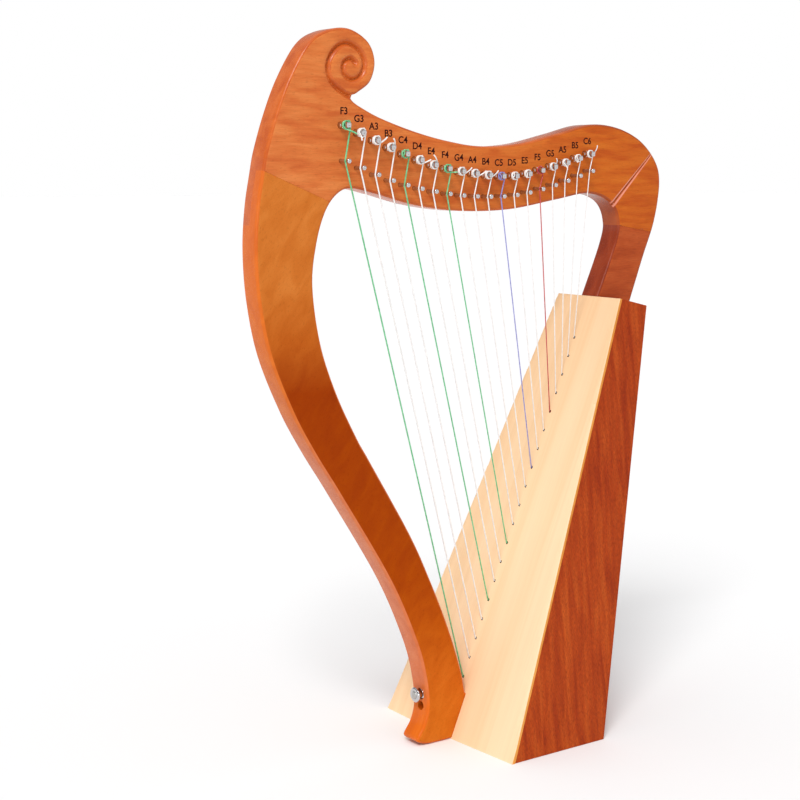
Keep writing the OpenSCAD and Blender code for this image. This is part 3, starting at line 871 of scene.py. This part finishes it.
PILLAR_WOOD = wood(
    "pillar wood",
    ((202, 111, 40), (209, 119, 47), (215, 127, 55)),
    turn=PILLAR_TURN,
    figure=0.1,
    stretch=0.4,
    fibre=2.2,
    fibre_stretch=0.8,
    fibre_depth=0.16,
    pores=0.4,
    pore_scale=1.6,
    coat=0.0,
    specular=0.04,
    tint=("Z", [(0, 1, 0.86, 0.4), (50, 0.95, 0.72, 0.33),
                (100, 0.76, 0.46, 0.08), (140, 0.62, 0.31, 0),
                (300, 0.52, 0.22, 0), (340, 0.8, 0.6, 0.35),
                (380, 0.96, 0.92, 0.85), (470, 1, 1, 1)]),
)
# Glossier side-grain wood for the pillar's walls and rounded edges. Its pale pink is a painted
# sheen, the white floor's reflection, strongest between z = 55 and 230 and held back to orange
# at the foot and near the top.
PILLAR_EDGE_SHEEN = wood(
    "pillar edge wood",
    ((224, 108, 64), (231, 115, 70), (236, 122, 76)),
    turn=PILLAR_TURN,
    figure=0.1,
    fibre_depth=0.1,
    gloss=0.2,
    specular=0.15,
    tint=("Z", [(0, 0.85, 0.75, 0.1), (32, 0.85, 0.75, 0.1),
                (55, 0.8, 0.95, 0.9), (230, 0.78, 0.98, 1),
                (290, 0.8, 0.85, 0.35), (350, 0.83, 0.82, 0.2),
                (470, 0.8, 0.75, 0.25)]),
)
POST_WOOD = wood(
    "post wood",
    ((164, 66, 24), (175, 75, 30), (184, 84, 37)),
    figure=0.12,
    stretch=0.2,
    fibre=1.3,
    fibre_stretch=0.1,
    fibre_depth=0.18,
    pores=0.35,
)
# Glossier side-grain wood for the post's walls and rounded edges, darkened as painted shade for
# its inner wall that faces left and down.
POST_EDGE_SHADED = wood(
    "post edge wood",
    ((130, 46, 20), (142, 54, 24), (152, 62, 30)),
    turn=UPRIGHT,
    figure=0.1,
    fibre_depth=0.16,
    gloss=0.2,
    specular=0.25,
)
MAHOGANY = wood(
    "mahogany",
    ((166, 56, 8), (186, 71, 14), (200, 86, 24)),
    turn=UPRIGHT,
    figure=0.12,
    stretch=0.04,
    fibre=2.2,
    fibre_stretch=0.12,
    fibre_depth=0.42,
    pores=0.6,
    pore_scale=1.6,
    rings=0.08,
    ring_scale=0.06,
    tint=("Z", [(0, 1, 1, 1), (110, 1, 0.98, 0.98),
                (220, 0.9, 0.78, 0.7), (340, 0.96, 0.9, 0.95)]),
)
SPRUCE = wood(
    "soundboard wood",
    ((240, 204, 158), (245, 212, 168), (249, 219, 178)),
    turn=ALONG_BOARD,
    figure=0.05,
    stretch=0.02,
    fibre=1.2,
    fibre_stretch=0.012,
    fibre_depth=0.05,
    gloss=0.38,
    tint=("Z", [(0, 0.97, 0.92, 0.92), (180, 0.96, 0.92, 0.92),
                (360, 0.89, 0.8, 0.76)]),
)
# Near-black painted shade for the walls of the string holes in the soundboard
HOLE_PAINTED_SHADE = wood("burnt hole wood", ((30, 14, 8), (40, 20, 10), (50, 26, 14)))
SPRUCE_EDGE = wood(
    "soundboard edge wood",
    ((206, 124, 48), (222, 144, 62), (234, 164, 84)),
    turn=ALONG_BOARD,
    figure=0.08,
    stretch=0.1,
    fibre_depth=0.2,
)
INNER_WOOD = wood(
    "inner wood",
    ((206, 170, 122), (222, 188, 142), (234, 204, 162)),
    figure=0.08,
    coat=0.0,
    gloss=0.55,
)
CHROME = metal("chrome", (0.6, 0.59, 0.6, 1), 0.09)
STEEL = metal("screw steel", (0.5, 0.49, 0.47, 1), 0.28, 0.06)
CLEAR = nylon("clear nylon", srgb(242, 240, 238), srgb(226, 224, 221))
GREEN = nylon("green nylon", srgb(122, 204, 150), srgb(76, 172, 112))
BLUE = nylon("blue nylon", srgb(158, 160, 214), srgb(118, 120, 190))
RED = nylon("red nylon", srgb(204, 70, 74), srgb(168, 34, 40))
INK, INK_TREE, INK_SHADER = material("marking ink", Roughness=0.6)
INK_SHADER.inputs["Specular IOR Level"].default_value = 0.1
INK_TREE.links.new(
    ramp(
        INK_TREE,
        noise(INK_TREE, grain_space(INK_TREE, (0, 0, 0), 1.0), 1.0),
        [(0.3, srgb(40, 4, 4)), (0.7, srgb(52, 8, 8))],
    ),
    INK_SHADER.inputs["Base Color"],
)
STRING_LOOK = {
    "f3": (GREEN, "nylon_green"),
    "c4": (GREEN, "nylon_green"),
    "f4": (GREEN, "nylon_green"),
    "c5": (BLUE, "nylon_blue"),
    "f5": (RED, "nylon_red"),
}
PLAIN_STRING = (CLEAR, "nylon_clear")


# ---- Wooden frame ----

TENON = ((136, -6, 338), (152, 6, 361))
# The strap button's seat and the counterbore of the screw, as (x0, x1, z, radius)
PILLAR_BORES = [(-65.2, -45.2, 41.0, 4.7), (-60.0, -33.0, 31.0, 3.8)]


def add_block(bm, low, high):
    made = bmesh.ops.create_cube(bm, size=1.0)
    size = [b - a for a, b in zip(low, high)]
    middle = [(a + b) / 2 for a, b in zip(low, high)]
    bmesh.ops.scale(bm, vec=size, verts=made["verts"])
    bmesh.ops.translate(bm, vec=middle, verts=made["verts"])
    edges = list({e for v in made["verts"] for e in v.link_edges})
    bmesh.ops.bevel(bm, geom=edges, offset=0.6, segments=2, affect="EDGES")


def bored(bm, bars):
    """The bmesh with round holes along X cut into it, from bars of (x0, x1, z, radius)."""
    made = []
    for x0, x1, z, r in bars:
        bar = bmesh.new()
        add_turned_x(bar, x1, z, [(0, r), (x1 - x0, r)])
        bmesh.ops.recalc_face_normals(bar, faces=bar.faces)
        made.append(bar)
    objects = []
    for part in (bm, *made):
        mesh = bpy.data.meshes.new("bored")
        part.to_mesh(mesh)
        part.free()
        obj = bpy.data.objects.new("bored", mesh)
        bpy.context.scene.collection.objects.link(obj)
        objects.append(obj)
    for tool in objects[1:]:
        cut = objects[0].modifiers.new("cut", "BOOLEAN")
        cut.operation = "DIFFERENCE"
        cut.solver = "EXACT"
        cut.object = tool
    bpy.context.view_layer.update()
    graph = bpy.context.evaluated_depsgraph_get()
    mesh = bpy.data.meshes.new_from_object(objects[0].evaluated_get(graph))
    out = bmesh.new()
    out.from_mesh(mesh)
    bpy.data.meshes.remove(mesh)
    for obj in objects:
        bpy.data.objects.remove(obj)
    return out


# A face is an edge, and takes the edge wood with its painted shade or painted sheen, where its
# normal's Y is smaller than this
EDGE_LEAN = 0.93
# Where the painted highlight on the pale lips of the shoulder cut starts, in half widths from
# its line
LIP_HIGHLIGHT_FROM = 0.4


def mark_edges_painted_light(obj, edge_wood_painted_light):
    """Gives the faces that don't look straight to the front or the back their own wood, whose
    colour carries the painted shade or painted sheen of those sides.
    """
    obj.data.materials.append(edge_wood_painted_light)
    for face in obj.data.polygons:
        face.material_index = int(abs(face.normal.y) < EDGE_LEAN)


def paint_lip_highlights(obj):
    """Gives the lips of the shoulder cut, in front, their own pale wood, a painted highlight."""
    obj.data.materials.append(LIP_PAINTED_HIGHLIGHT)
    for face in obj.data.polygons:
        off, _ = shoulder_place(np.array([(face.center.x, face.center.z)]) / MM)
        if face.normal.y < -0.2 and LIP_HIGHLIGHT_FROM < off[0] < 1:
            face.material_index = 2


def add_frame_piece(name, bm, node, face_wood, edge_wood_painted_light):
    made = new_piece(name, bm, [face_wood], replaced=[node])
    mark_edges_painted_light(made, edge_wood_painted_light)
    return made


def make_frame():
    loops = frame_loops()
    bores = [(at, PEG_R + 0.05, 17.0) for at in PEG_AT]
    bores += [(at, BRIDGE_R + 0.02, 12.0) for at in BRIDGE_AT]
    neck = frame_shell(*loops["neck"], bores=bores, carved=True)
    paint_lip_highlights(add_frame_piece("neck_carved", neck, "neck", NECK_WOOD, NECK_EDGE_SHADED))
    pillar = bored(frame_shell(*loops["pillar"]), PILLAR_BORES)
    add_frame_piece("pillar_shaped", pillar, "pillar", PILLAR_WOOD, PILLAR_EDGE_SHEEN)
    post = frame_shell(*loops["shoulder_post"])
    add_block(post, *TENON)
    add_frame_piece("shoulder_post_shaped", post, "shoulder_post", POST_WOOD, POST_EDGE_SHADED)


# ---- Turned and bent pieces ----


def add_rings(bm, rings, closed_ends=True):
    """Joins rings of equally many points into a skin."""
    made = [[bm.verts.new(p) for p in ring] for ring in rings]
    n = len(made[0])
    for one, two in zip(made, made[1:]):
        for k in range(n):
            bm.faces.new([one[k], one[(k + 1) % n], two[(k + 1) % n], two[k]])
    if closed_ends:
        bm.faces.new(made[0][::-1])
        bm.faces.new(made[-1])


def add_turned(bm, at, profile, sides=28, shape=None):
    """A shape turned about a line along Y at [x, z], from a profile of (y, radius)."""
    rings = []
    for y, r in profile:
        ring = []
        for k in range(sides):
            a = 2 * math.pi * k / sides
            reach = shape(a, y, r) if shape else r
            ring.append((at[0] + reach * math.cos(a), y, at[1] + reach * math.sin(a)))
        rings.append(ring)
    add_rings(bm, rings)


def add_turned_x(bm, x, z, profile, sides=40):
    """A shape turned about a line along X, from a profile of (distance towards -X, radius)."""
    rings = []
    for out, r in profile:
        turn = [2 * math.pi * k / sides for k in range(sides)]
        rings.append([(x - out, r * math.cos(a), z + r * math.sin(a)) for a in turn])
    add_rings(bm, rings)


def add_tube(bm, path, radii, sides=10):
    """A tube along a path of points."""
    path = [Vector(p) for p in path]
    tangents = []
    for k in range(len(path)):
        a = path[max(k - 1, 0)]
        b = path[min(k + 1, len(path) - 1)]
        tangents.append((b - a).normalized())
    side = tangents[0].orthogonal().normalized()
    rings = []
    for k, (p, t) in enumerate(zip(path, tangents)):
        side = (side - t * side.dot(t)).normalized()
        other = t.cross(side)
        r = float(radii[k])
        ring = []
        for n in range(sides):
            a = 2 * math.pi * n / sides
            ring.append(p + r * (math.cos(a) * side + math.sin(a) * other))
        rings.append(ring)
    add_rings(bm, rings)


DRIVE_HALF = 2.05
DRIVE_Y = PEG_TIP_Y + 8.5


def drive_shape(a, y, r):
    """Square with rounded corners on the pin's outer stretch, round further in."""
    square = r * DRIVE_HALF / PEG_R / max(abs(math.cos(a)), abs(math.sin(a)))
    return min(r, square) if y < DRIVE_Y else r


def make_peg(i):
    note = NOTES[i]
    inner_y = PEG_BOXES[i][1][1]
    tip = PEG_TIP_Y
    profile = [
        (inner_y, PEG_R - 0.4),
        (inner_y - 0.4, PEG_R),
        (DRIVE_Y + 0.01, PEG_R),
        (DRIVE_Y - 0.35, PEG_R),
        (tip + 0.75, PEG_R),
        (tip + 0.3, PEG_R - 0.14),
        (tip + 0.08, PEG_R - 0.42),
        (tip, PEG_R - 0.75),
        (tip + 0.04, 0.8),
        (tip + 0.16, 0.25),
    ]
    bm = bmesh.new()
    add_turned(bm, PEG_AT[i], profile[::-1], 40, drive_shape)
    close_up(bm, 1e-4)
    new_piece("peg_" + note, bm, [CHROME], "pin_" + note, [PEG + note], 28)


def make_bridge_pins():
    bm = bmesh.new()
    for at, (low, high) in zip(BRIDGE_AT, BRIDGE_BOXES):
        tip = low[1]
        profile = [
            (tip + 0.12, 0.35),
            (tip + 0.02, 0.7),
            (tip, 1.2),
            (tip + 0.12, 1.6),
            (tip + 0.45, 1.84),
            (tip + 1.2, 1.84),
            (tip + 1.7, 1.6),
            (tip + 2.1, 1.3),
            (tip + 3.2, 1.2),
            (tip + 4.3, 1.28),
            (tip + 4.8, BRIDGE_R),
            (high[1], BRIDGE_R),
        ]
        add_turned(bm, at, profile, 28)
    close_up(bm, 1e-4)
    new_piece("bridge_pins_turned", bm, [CHROME], HARP, ["bridge_pins"], 50)


# ---- Strings ----

STRING_GAP = 0.15
STRING_AT_BRIDGE_Y = BRIDGE_TIP_Y + 3.2
BRIDGE_WAIST_R = 1.25
RIB_BACK = BOARD_T + 5.0
KNOT_R = 2.0
COIL_STEPS = 28
# Direction in degrees and length of each string's cut end, from the first pin to the last
TAILS = [
    (-28, 8), (-92, 6), (48, 6), (130, 6), (-140, 5), (28, 6), (140, 8), (2, 5), (52, 6),
    (40, 6.5), (58, 6), (-128, 5), (-140, 5.5), (-125, 6), (176, 6), (128, 6), (-88, 6),
    (-122, 6), (92, 7),
]


def string_r(i):
    """Radius of a string, from the size of its winding."""
    low, high = WINDING_BOXES[i]
    return float((high[0] - low[0]) / 2 - PEG_R) / 2


def spline(points, count):
    """Smooth line through a few points in space."""
    p = [Vector(q) for q in points]
    p = [2 * p[0] - p[1], *p, 2 * p[-1] - p[-2]]
    out = []
    for k in range(1, len(p) - 2):
        a, b, c, d = p[k - 1 : k + 3]
        for n in range(count):
            t = n / count
            out.append(
                0.5 * (2 * b + (c - a) * t + (2 * a - 5 * b + 4 * c - d) * t**2
                       + (3 * b - a - 3 * c + d) * t**3)
            )
    out.append(p[-2])
    return out


def make_coil(i):
    """Turns of string round a tuning pin, and the cut end."""
    note = NOTES[i]
    low, high = WINDING_BOXES[i]
    r = string_r(i)
    x, z = PEG_AT[i]
    reach = PEG_R + r - 0.03
    angle, length = TAILS[i]
    turns = (high[1] - low[1]) / (2 * r)
    last = math.radians(angle - 90)
    last += 2 * math.pi * round((turns * 2 * math.pi - last) / (2 * math.pi))
    steps = round(COIL_STEPS * last / (2 * math.pi))
    path = []
    for k in range(steps + 1):
        a = last * k / steps
        y = high[1] - r - (high[1] - low[1] - 2 * r) * k / steps
        path.append(Vector((x + reach * math.cos(a), y, z + reach * math.sin(a))))
    heading = Vector((-math.sin(last), 0, math.cos(last)))
    end = path[-1]
    out_y = PEG_TIP_Y - 0.6 - r
    ends = [
        end,
        end + heading * length * 0.35 + Vector((0, (out_y - end.y) * 0.6, 0)),
        end + heading * length * 0.7 + Vector((0, out_y - end.y, 0)),
        end + heading * length + Vector((0, out_y - end.y - 0.4, 0)),
    ]
    path += spline(ends, 5)[1:]
    bm = bmesh.new()
    add_tube(bm, path, [r] * len(path), 10)
    close_up(bm, 1e-5)
    look, slot = STRING_LOOK.get(note, PLAIN_STRING)
    new_piece("coil_" + note, bm, [look], "pin_" + note, ["winding_" + note], 60)


def make_string(i):
    """A string from beside its winding, round its bridge pin, to the knot in the soundbox."""
    note = NOTES[i]
    r = string_r(i)
    _, high = WINDING_BOXES[i]
    tx, tz = PEG_AT[i]
    bx, bz = BRIDGE_AT[i]
    mx, mz = hole_mouth(i)
    start_y = high[1] - r
    side = PEG_R + 3 * r + STRING_GAP
    reach = BRIDGE_WAIST_R + r + STRING_GAP
    peg = np.array([tx, tz])
    pin = np.array([bx, bz])
    upper = crossover(peg, pin, side, reach)
    lower = -crossover(np.array([mx, mz]), pin, 0, reach)
    top = math.atan2(upper[0], -upper[1])
    path = []
    for a in (1.2, 1.0, 0.8, 0.6, 0.4, 0.2, 0.0):
        a += top
        path.append((tx + side * math.cos(a), start_y, tz + side * math.sin(a)))
    for part in np.linspace(0, 1, 6):
        d = upper + (lower - upper) * part
        at = pin - reach * right_of(d / np.linalg.norm(d))
        path.append((at[0], STRING_AT_BRIDGE_Y, at[1]))
    s = FIRST_HOLE + HOLE_STEP * i
    path.append((mx - 0.3 * INTO[0], 0.0, mz - 0.3 * INTO[1]))
    radii = [r] * len(path)
    back = RIB_BACK + crease(s)
    for depth, wide in ((0, r), (0.4, KNOT_R * 0.7), (1.4, KNOT_R), (3.4, KNOT_R), (4.2, 1.2)):
        path.append((mx + (back + depth) * INTO[0], 0.0, mz + (back + depth) * INTO[1]))
        radii.append(wide)
    bm = bmesh.new()
    add_tube(bm, path, radii, 10)
    close_up(bm, 1e-5)
    look, slot = STRING_LOOK.get(note, PLAIN_STRING)
    new_piece("string_" + note, bm, [look], HARP, ["strings"], 60)


def right_of(d):
    """A direction turned to the right, seen from the front."""
    return np.array([-d[1], d[0]])


def crossover(start, end, a, b):
    """Direction of a string past a round's right side and the next round's left side."""
    d = (end - start) / np.linalg.norm(end - start)
    s = (a + b) / np.linalg.norm(end - start)
    return math.sqrt(1 - s * s) * d - s * right_of(d)


# ---- Soundboard ----

BOARD_EDGE_R = 0.9
BOARD_ROWS = [0.08, 0.25, 0.55, 0.9]
BOARD_HALF_FOOT = 85.0
BOARD_HALF_TOP = 39.0
BOARD_STEPS = 60
# Near each end, over this length, the board's thickness leans to meet the base or the cap
BOARD_END = 12
BOARD_CAP_LEAN = math.radians(9.3)


def board_half_width(s):
    return BOARD_HALF_FOOT + (BOARD_HALF_TOP - BOARD_HALF_FOOT) * s / BOARD_LENGTH


def board_point(y, s, h):
    """A point of the soundboard: y across it, s up it and h out of it."""
    low = np.clip(1 - s / BOARD_END, 0, 1)
    high = np.clip(1 - (BOARD_LENGTH - s) / BOARD_END, 0, 1)
    s = s - h * (low * math.tan(BOARD_LEAN) + high * math.tan(BOARD_CAP_LEAN))
    p = BOARD_FOOT + s * UP - h * INTO
    return (p[0], y, p[1])


def board_plan(loop, right):
    """Points and lines of the soundboard: its outline, rows along the edges, crease and grid."""
    plan = Plan()
    plan.add(loop, chain=True, closed=True)
    rows = []
    for d in BOARD_ROWS:
        side = right - (d, 0)
        rows += [side, side * (-1, 1)]
        wide = board_half_width(BOARD_LENGTH - d) - BOARD_ROWS[-1] - 0.4
        rows.append(np.linspace((-wide, BOARD_LENGTH - d), (wide, BOARD_LENGTH - d), 24))
    for row in rows:
        plan.add(row[is_inside(row, loop)])
    for y in (-2.0, -0.7, 0.0, 0.7, 2.0):
        plan.add(np.array([(y, s) for s in np.arange(1.2, BOARD_LENGTH - 1, 2.8)]))
    grid = hex_grid(loop.min(0), loop.max(0), 7.0)
    grid = grid[is_inside(grid, loop)]
    grid = grid[(to_loop(grid, loop) > 2.5) & (np.abs(grid[:, 0]) > 4)]
    plan.add(grid)
    return plan


def add_board_holes(plan, holes):
    """Clears a plan round each string hole and draws the hole there."""
    kept = np.array(plan.points)
    free = np.ones(len(kept), bool)
    for hole in holes:
        free &= np.linalg.norm(kept - hole, axis=1) > HOLE_R + 0.6
    renumber = np.cumsum(free) - 1
    plan.points = [p for p, ok in zip(plan.points, free) if ok]
    plan.edges = [(renumber[a], renumber[b]) for a, b in plan.edges if free[a] and free[b]]
    for hole in holes:
        for extra in (0, 0.25):
            plan.add(circle(hole, HOLE_R + extra, 20), chain=True, closed=True)


def board_top(points, rim, holes):
    """Height of the soundboard's face: its crease, rounded rim and eased holes."""
    s = points[:, 1]
    ridge = np.sqrt(points[:, 0] ** 2 + 0.5) - math.sqrt(0.5)
    top = crease(s) * np.clip(1 - ridge / board_half_width(s), 0, 1)
    top -= quarter_round(to_path(points, rim), BOARD_EDGE_R)
    for hole in holes:
        d = np.linalg.norm(points - hole, axis=1) - HOLE_R
        top -= np.clip(0.2 - d, 0, 0.2)
    return top


def make_soundboard():
    s_values = np.linspace(0, BOARD_LENGTH, BOARD_STEPS + 1)
    right = np.array([(board_half_width(s), s) for s in s_values])
    left = right * (-1, 1)
    top_row = np.linspace(right[-1], left[-1], 14)[1:-1]
    foot_row = np.linspace(left[0], right[0], 26)[1:-1]
    loop = np.vstack([right, top_row, left[::-1], foot_row])
    # The rounded rim runs on past the foot, which stays sharp
    below = (0, 20) * (right[:, 1:] < 1)
    rim = np.vstack([right - below, (left - below)[::-1]])
    holes = [np.array([0.0, FIRST_HOLE + HOLE_STEP * i]) for i in range(len(NOTES))]
    plan = board_plan(loop, right)
    add_board_holes(plan, holes)
    points, triangles = plan.triangles()
    middle = points[triangles].mean(1)
    keep = is_inside(middle, loop)
    for hole in holes:
        keep &= np.linalg.norm(middle - hole, axis=1) > HOLE_R * 0.98
    triangles = triangles[keep]
    bm = bmesh.new()
    skins = []
    for h in (board_top(points, rim, holes), np.full(len(points), -BOARD_T)):
        skins.append([bm.verts.new(board_point(p[0], p[1], x)) for p, x in zip(points, h)])
    for t in triangles:
        bm.faces.new([skins[0][k] for k in t])
        bm.faces.new([skins[1][k] for k in t[::-1]])
    for a, b in open_edges(triangles):
        wall = bm.faces.new([skins[0][a], skins[1][a], skins[1][b], skins[0][b]])
        # Outer walls take the edge wood, and the walls of the string holes the near-black
        # painted shade
        outer = abs(points[a][0]) > 5 or to_loop(points[[a]], loop)[0] < 0.1
        wall.material_index = 1 if outer else 2
    loose = [v for v in bm.verts if not v.link_faces]
    bmesh.ops.delete(bm, geom=loose, context="VERTS")
    close_up(bm)
    looks = [SPRUCE, SPRUCE_EDGE, HOLE_PAINTED_SHADE]
    new_piece("soundboard_plate", bm, looks, HARP, ["soundboard"])


# ---- Pitch names ----

NAME_SIZE = 7.4
NAME_SHIFT = (3.0, 10.5)
NAME_LIFT = 0.03
NAME_BOLD = 0.15


def make_names():
    whole = bmesh.new()
    for i, note in enumerate(NOTES):
        text = bpy.data.curves.new("name_" + note, "FONT")
        text.body = note.upper()
        text.size = NAME_SIZE
        text.align_x = "CENTER"
        text.align_y = "CENTER"
        text.extrude = NAME_LIFT / 2
        text.offset = NAME_BOLD
        obj = bpy.data.objects.new("name_" + note, text)
        bpy.context.scene.collection.objects.link(obj)
        bpy.context.view_layer.update()
        graph = bpy.context.evaluated_depsgraph_get()
        mesh = bpy.data.meshes.new_from_object(obj.evaluated_get(graph))
        bpy.data.objects.remove(obj)
        part = bmesh.new()
        part.from_mesh(mesh)
        bmesh.ops.rotate(part, cent=(0, 0, 0), matrix=Matrix.Rotation(math.pi / 2, 3, "X"),
                         verts=part.verts)
        x = PEG_AT[i][0] + NAME_SHIFT[0]
        z = PEG_AT[i][1] + NAME_SHIFT[1]
        bmesh.ops.translate(part, vec=(x, FACE_Y - NAME_LIFT, z), verts=part.verts)
        part.to_mesh(mesh)
        part.free()
        whole.from_mesh(mesh)
        bpy.data.meshes.remove(mesh)
    bmesh.ops.remove_doubles(whole, verts=whole.verts, dist=1e-4)
    new_piece("pitch_names", whole, [INK], HARP)


# ---- CAD nodes that stay ----

BEVEL = 0.7 * MM
KEPT = {
    "side_panel_near": MAHOGANY,
    "side_panel_far": MAHOGANY,
    "back_panel": MAHOGANY,
    "top_cap": MAHOGANY,
    "base_panel": MAHOGANY,
    "strap_button": CHROME,
    "strap_button_screw": STEEL,
    "pillar_screw": STEEL,
    "tenon_screws": STEEL,
}


def finish_kept_nodes():
    for name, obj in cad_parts.items():
        if obj.hide_render:
            continue
        obj.data.materials.clear()
        obj.data.materials.append(KEPT.get(name, INNER_WOOD))
        weld = obj.modifiers.new("weld", "WELD")
        weld.merge_threshold = 1e-5
        bevel = obj.modifiers.new("bevel", "BEVEL")
        bevel.width = BEVEL if name not in ("strap_button",) else 0.2 * MM
        bevel.segments = 3
        bevel.limit_method = "ANGLE"
        bevel.angle_limit = math.radians(40)


# ---- Stage ----

CAMERA_AT = (-0.8135, -1.0262, 0.4641)
CAMERA_AIM = (0.58195, 0.80130, -0.13877)
CAMERA_LENS = 72.65


def make_camera():
    data = bpy.data.cameras.new("camera")
    data.lens = CAMERA_LENS
    data.sensor_width = 36
    camera = bpy.data.objects.new("camera", data)
    camera.location = CAMERA_AT
    camera.rotation_euler = Vector(CAMERA_AIM).to_track_quat("-Z", "Y").to_euler()
    bpy.context.scene.collection.objects.link(camera)
    bpy.context.scene.camera = camera


def make_sun(name, source, strength, spread):
    """A lamp far off in a direction, spread over an angle in degrees."""
    data = bpy.data.lights.new(name, "SUN")
    data.energy = strength
    data.angle = math.radians(spread)
    light = bpy.data.objects.new(name, data)
    light.rotation_euler = (-Vector(source)).to_track_quat("-Z", "Y").to_euler()
    bpy.context.scene.collection.objects.link(light)


FLOOR_SIZE = 60.0
FLOOR_WHITE = 0.89


def make_stage():
    bm = bmesh.new()
    bmesh.ops.create_grid(bm, x_segments=8, y_segments=8, size=FLOOR_SIZE / 2)
    mesh = bpy.data.meshes.new("floor")
    bm.to_mesh(mesh)
    bm.free()
    made, tree, shader = material("floor", Roughness=0.9)
    shader.inputs["Base Color"].default_value = (FLOOR_WHITE, FLOOR_WHITE, FLOOR_WHITE, 1)
    shader.inputs["Specular IOR Level"].default_value = 0.0
    mesh.materials.append(made)
    floor = bpy.data.objects.new("floor", mesh)
    bpy.context.scene.collection.objects.link(floor)
    world = bpy.data.worlds.new("studio")
    world.use_nodes = True
    tree = world.node_tree
    back = next(n for n in tree.nodes if n.type == "BACKGROUND")
    up = put(tree, "ShaderNodeTexCoord").outputs["Generated"]
    height = put(tree, "ShaderNodeSeparateXYZ", {"Vector": up}).outputs["Z"]
    sky = ramp(
        tree,
        height,
        [(0.0, share(1, 1, 1)), (0.14, share(1, 1, 1)), (0.3, share(0.36, 0.36, 0.37)),
         (0.58, share(0.36, 0.36, 0.37)), (0.75, share(0.9, 0.9, 0.9))],
    )
    tree.links.new(sky, back.inputs["Color"])
    back.inputs["Strength"].default_value = 1.0
    bpy.context.scene.world = world
    make_sun("key", (-1.1, -1.0, 1.5), 1.95, 22)
    make_sun("strip", (-1.0, -0.6, 0.12), 0.25, 14)
    bpy.context.scene.view_settings.view_transform = "Standard"


make_camera()
make_stage()
make_frame()
make_soundboard()
for i in range(len(NOTES)):
    make_peg(i)
    make_coil(i)
    make_string(i)
make_bridge_pins()
make_names()
finish_kept_nodes()
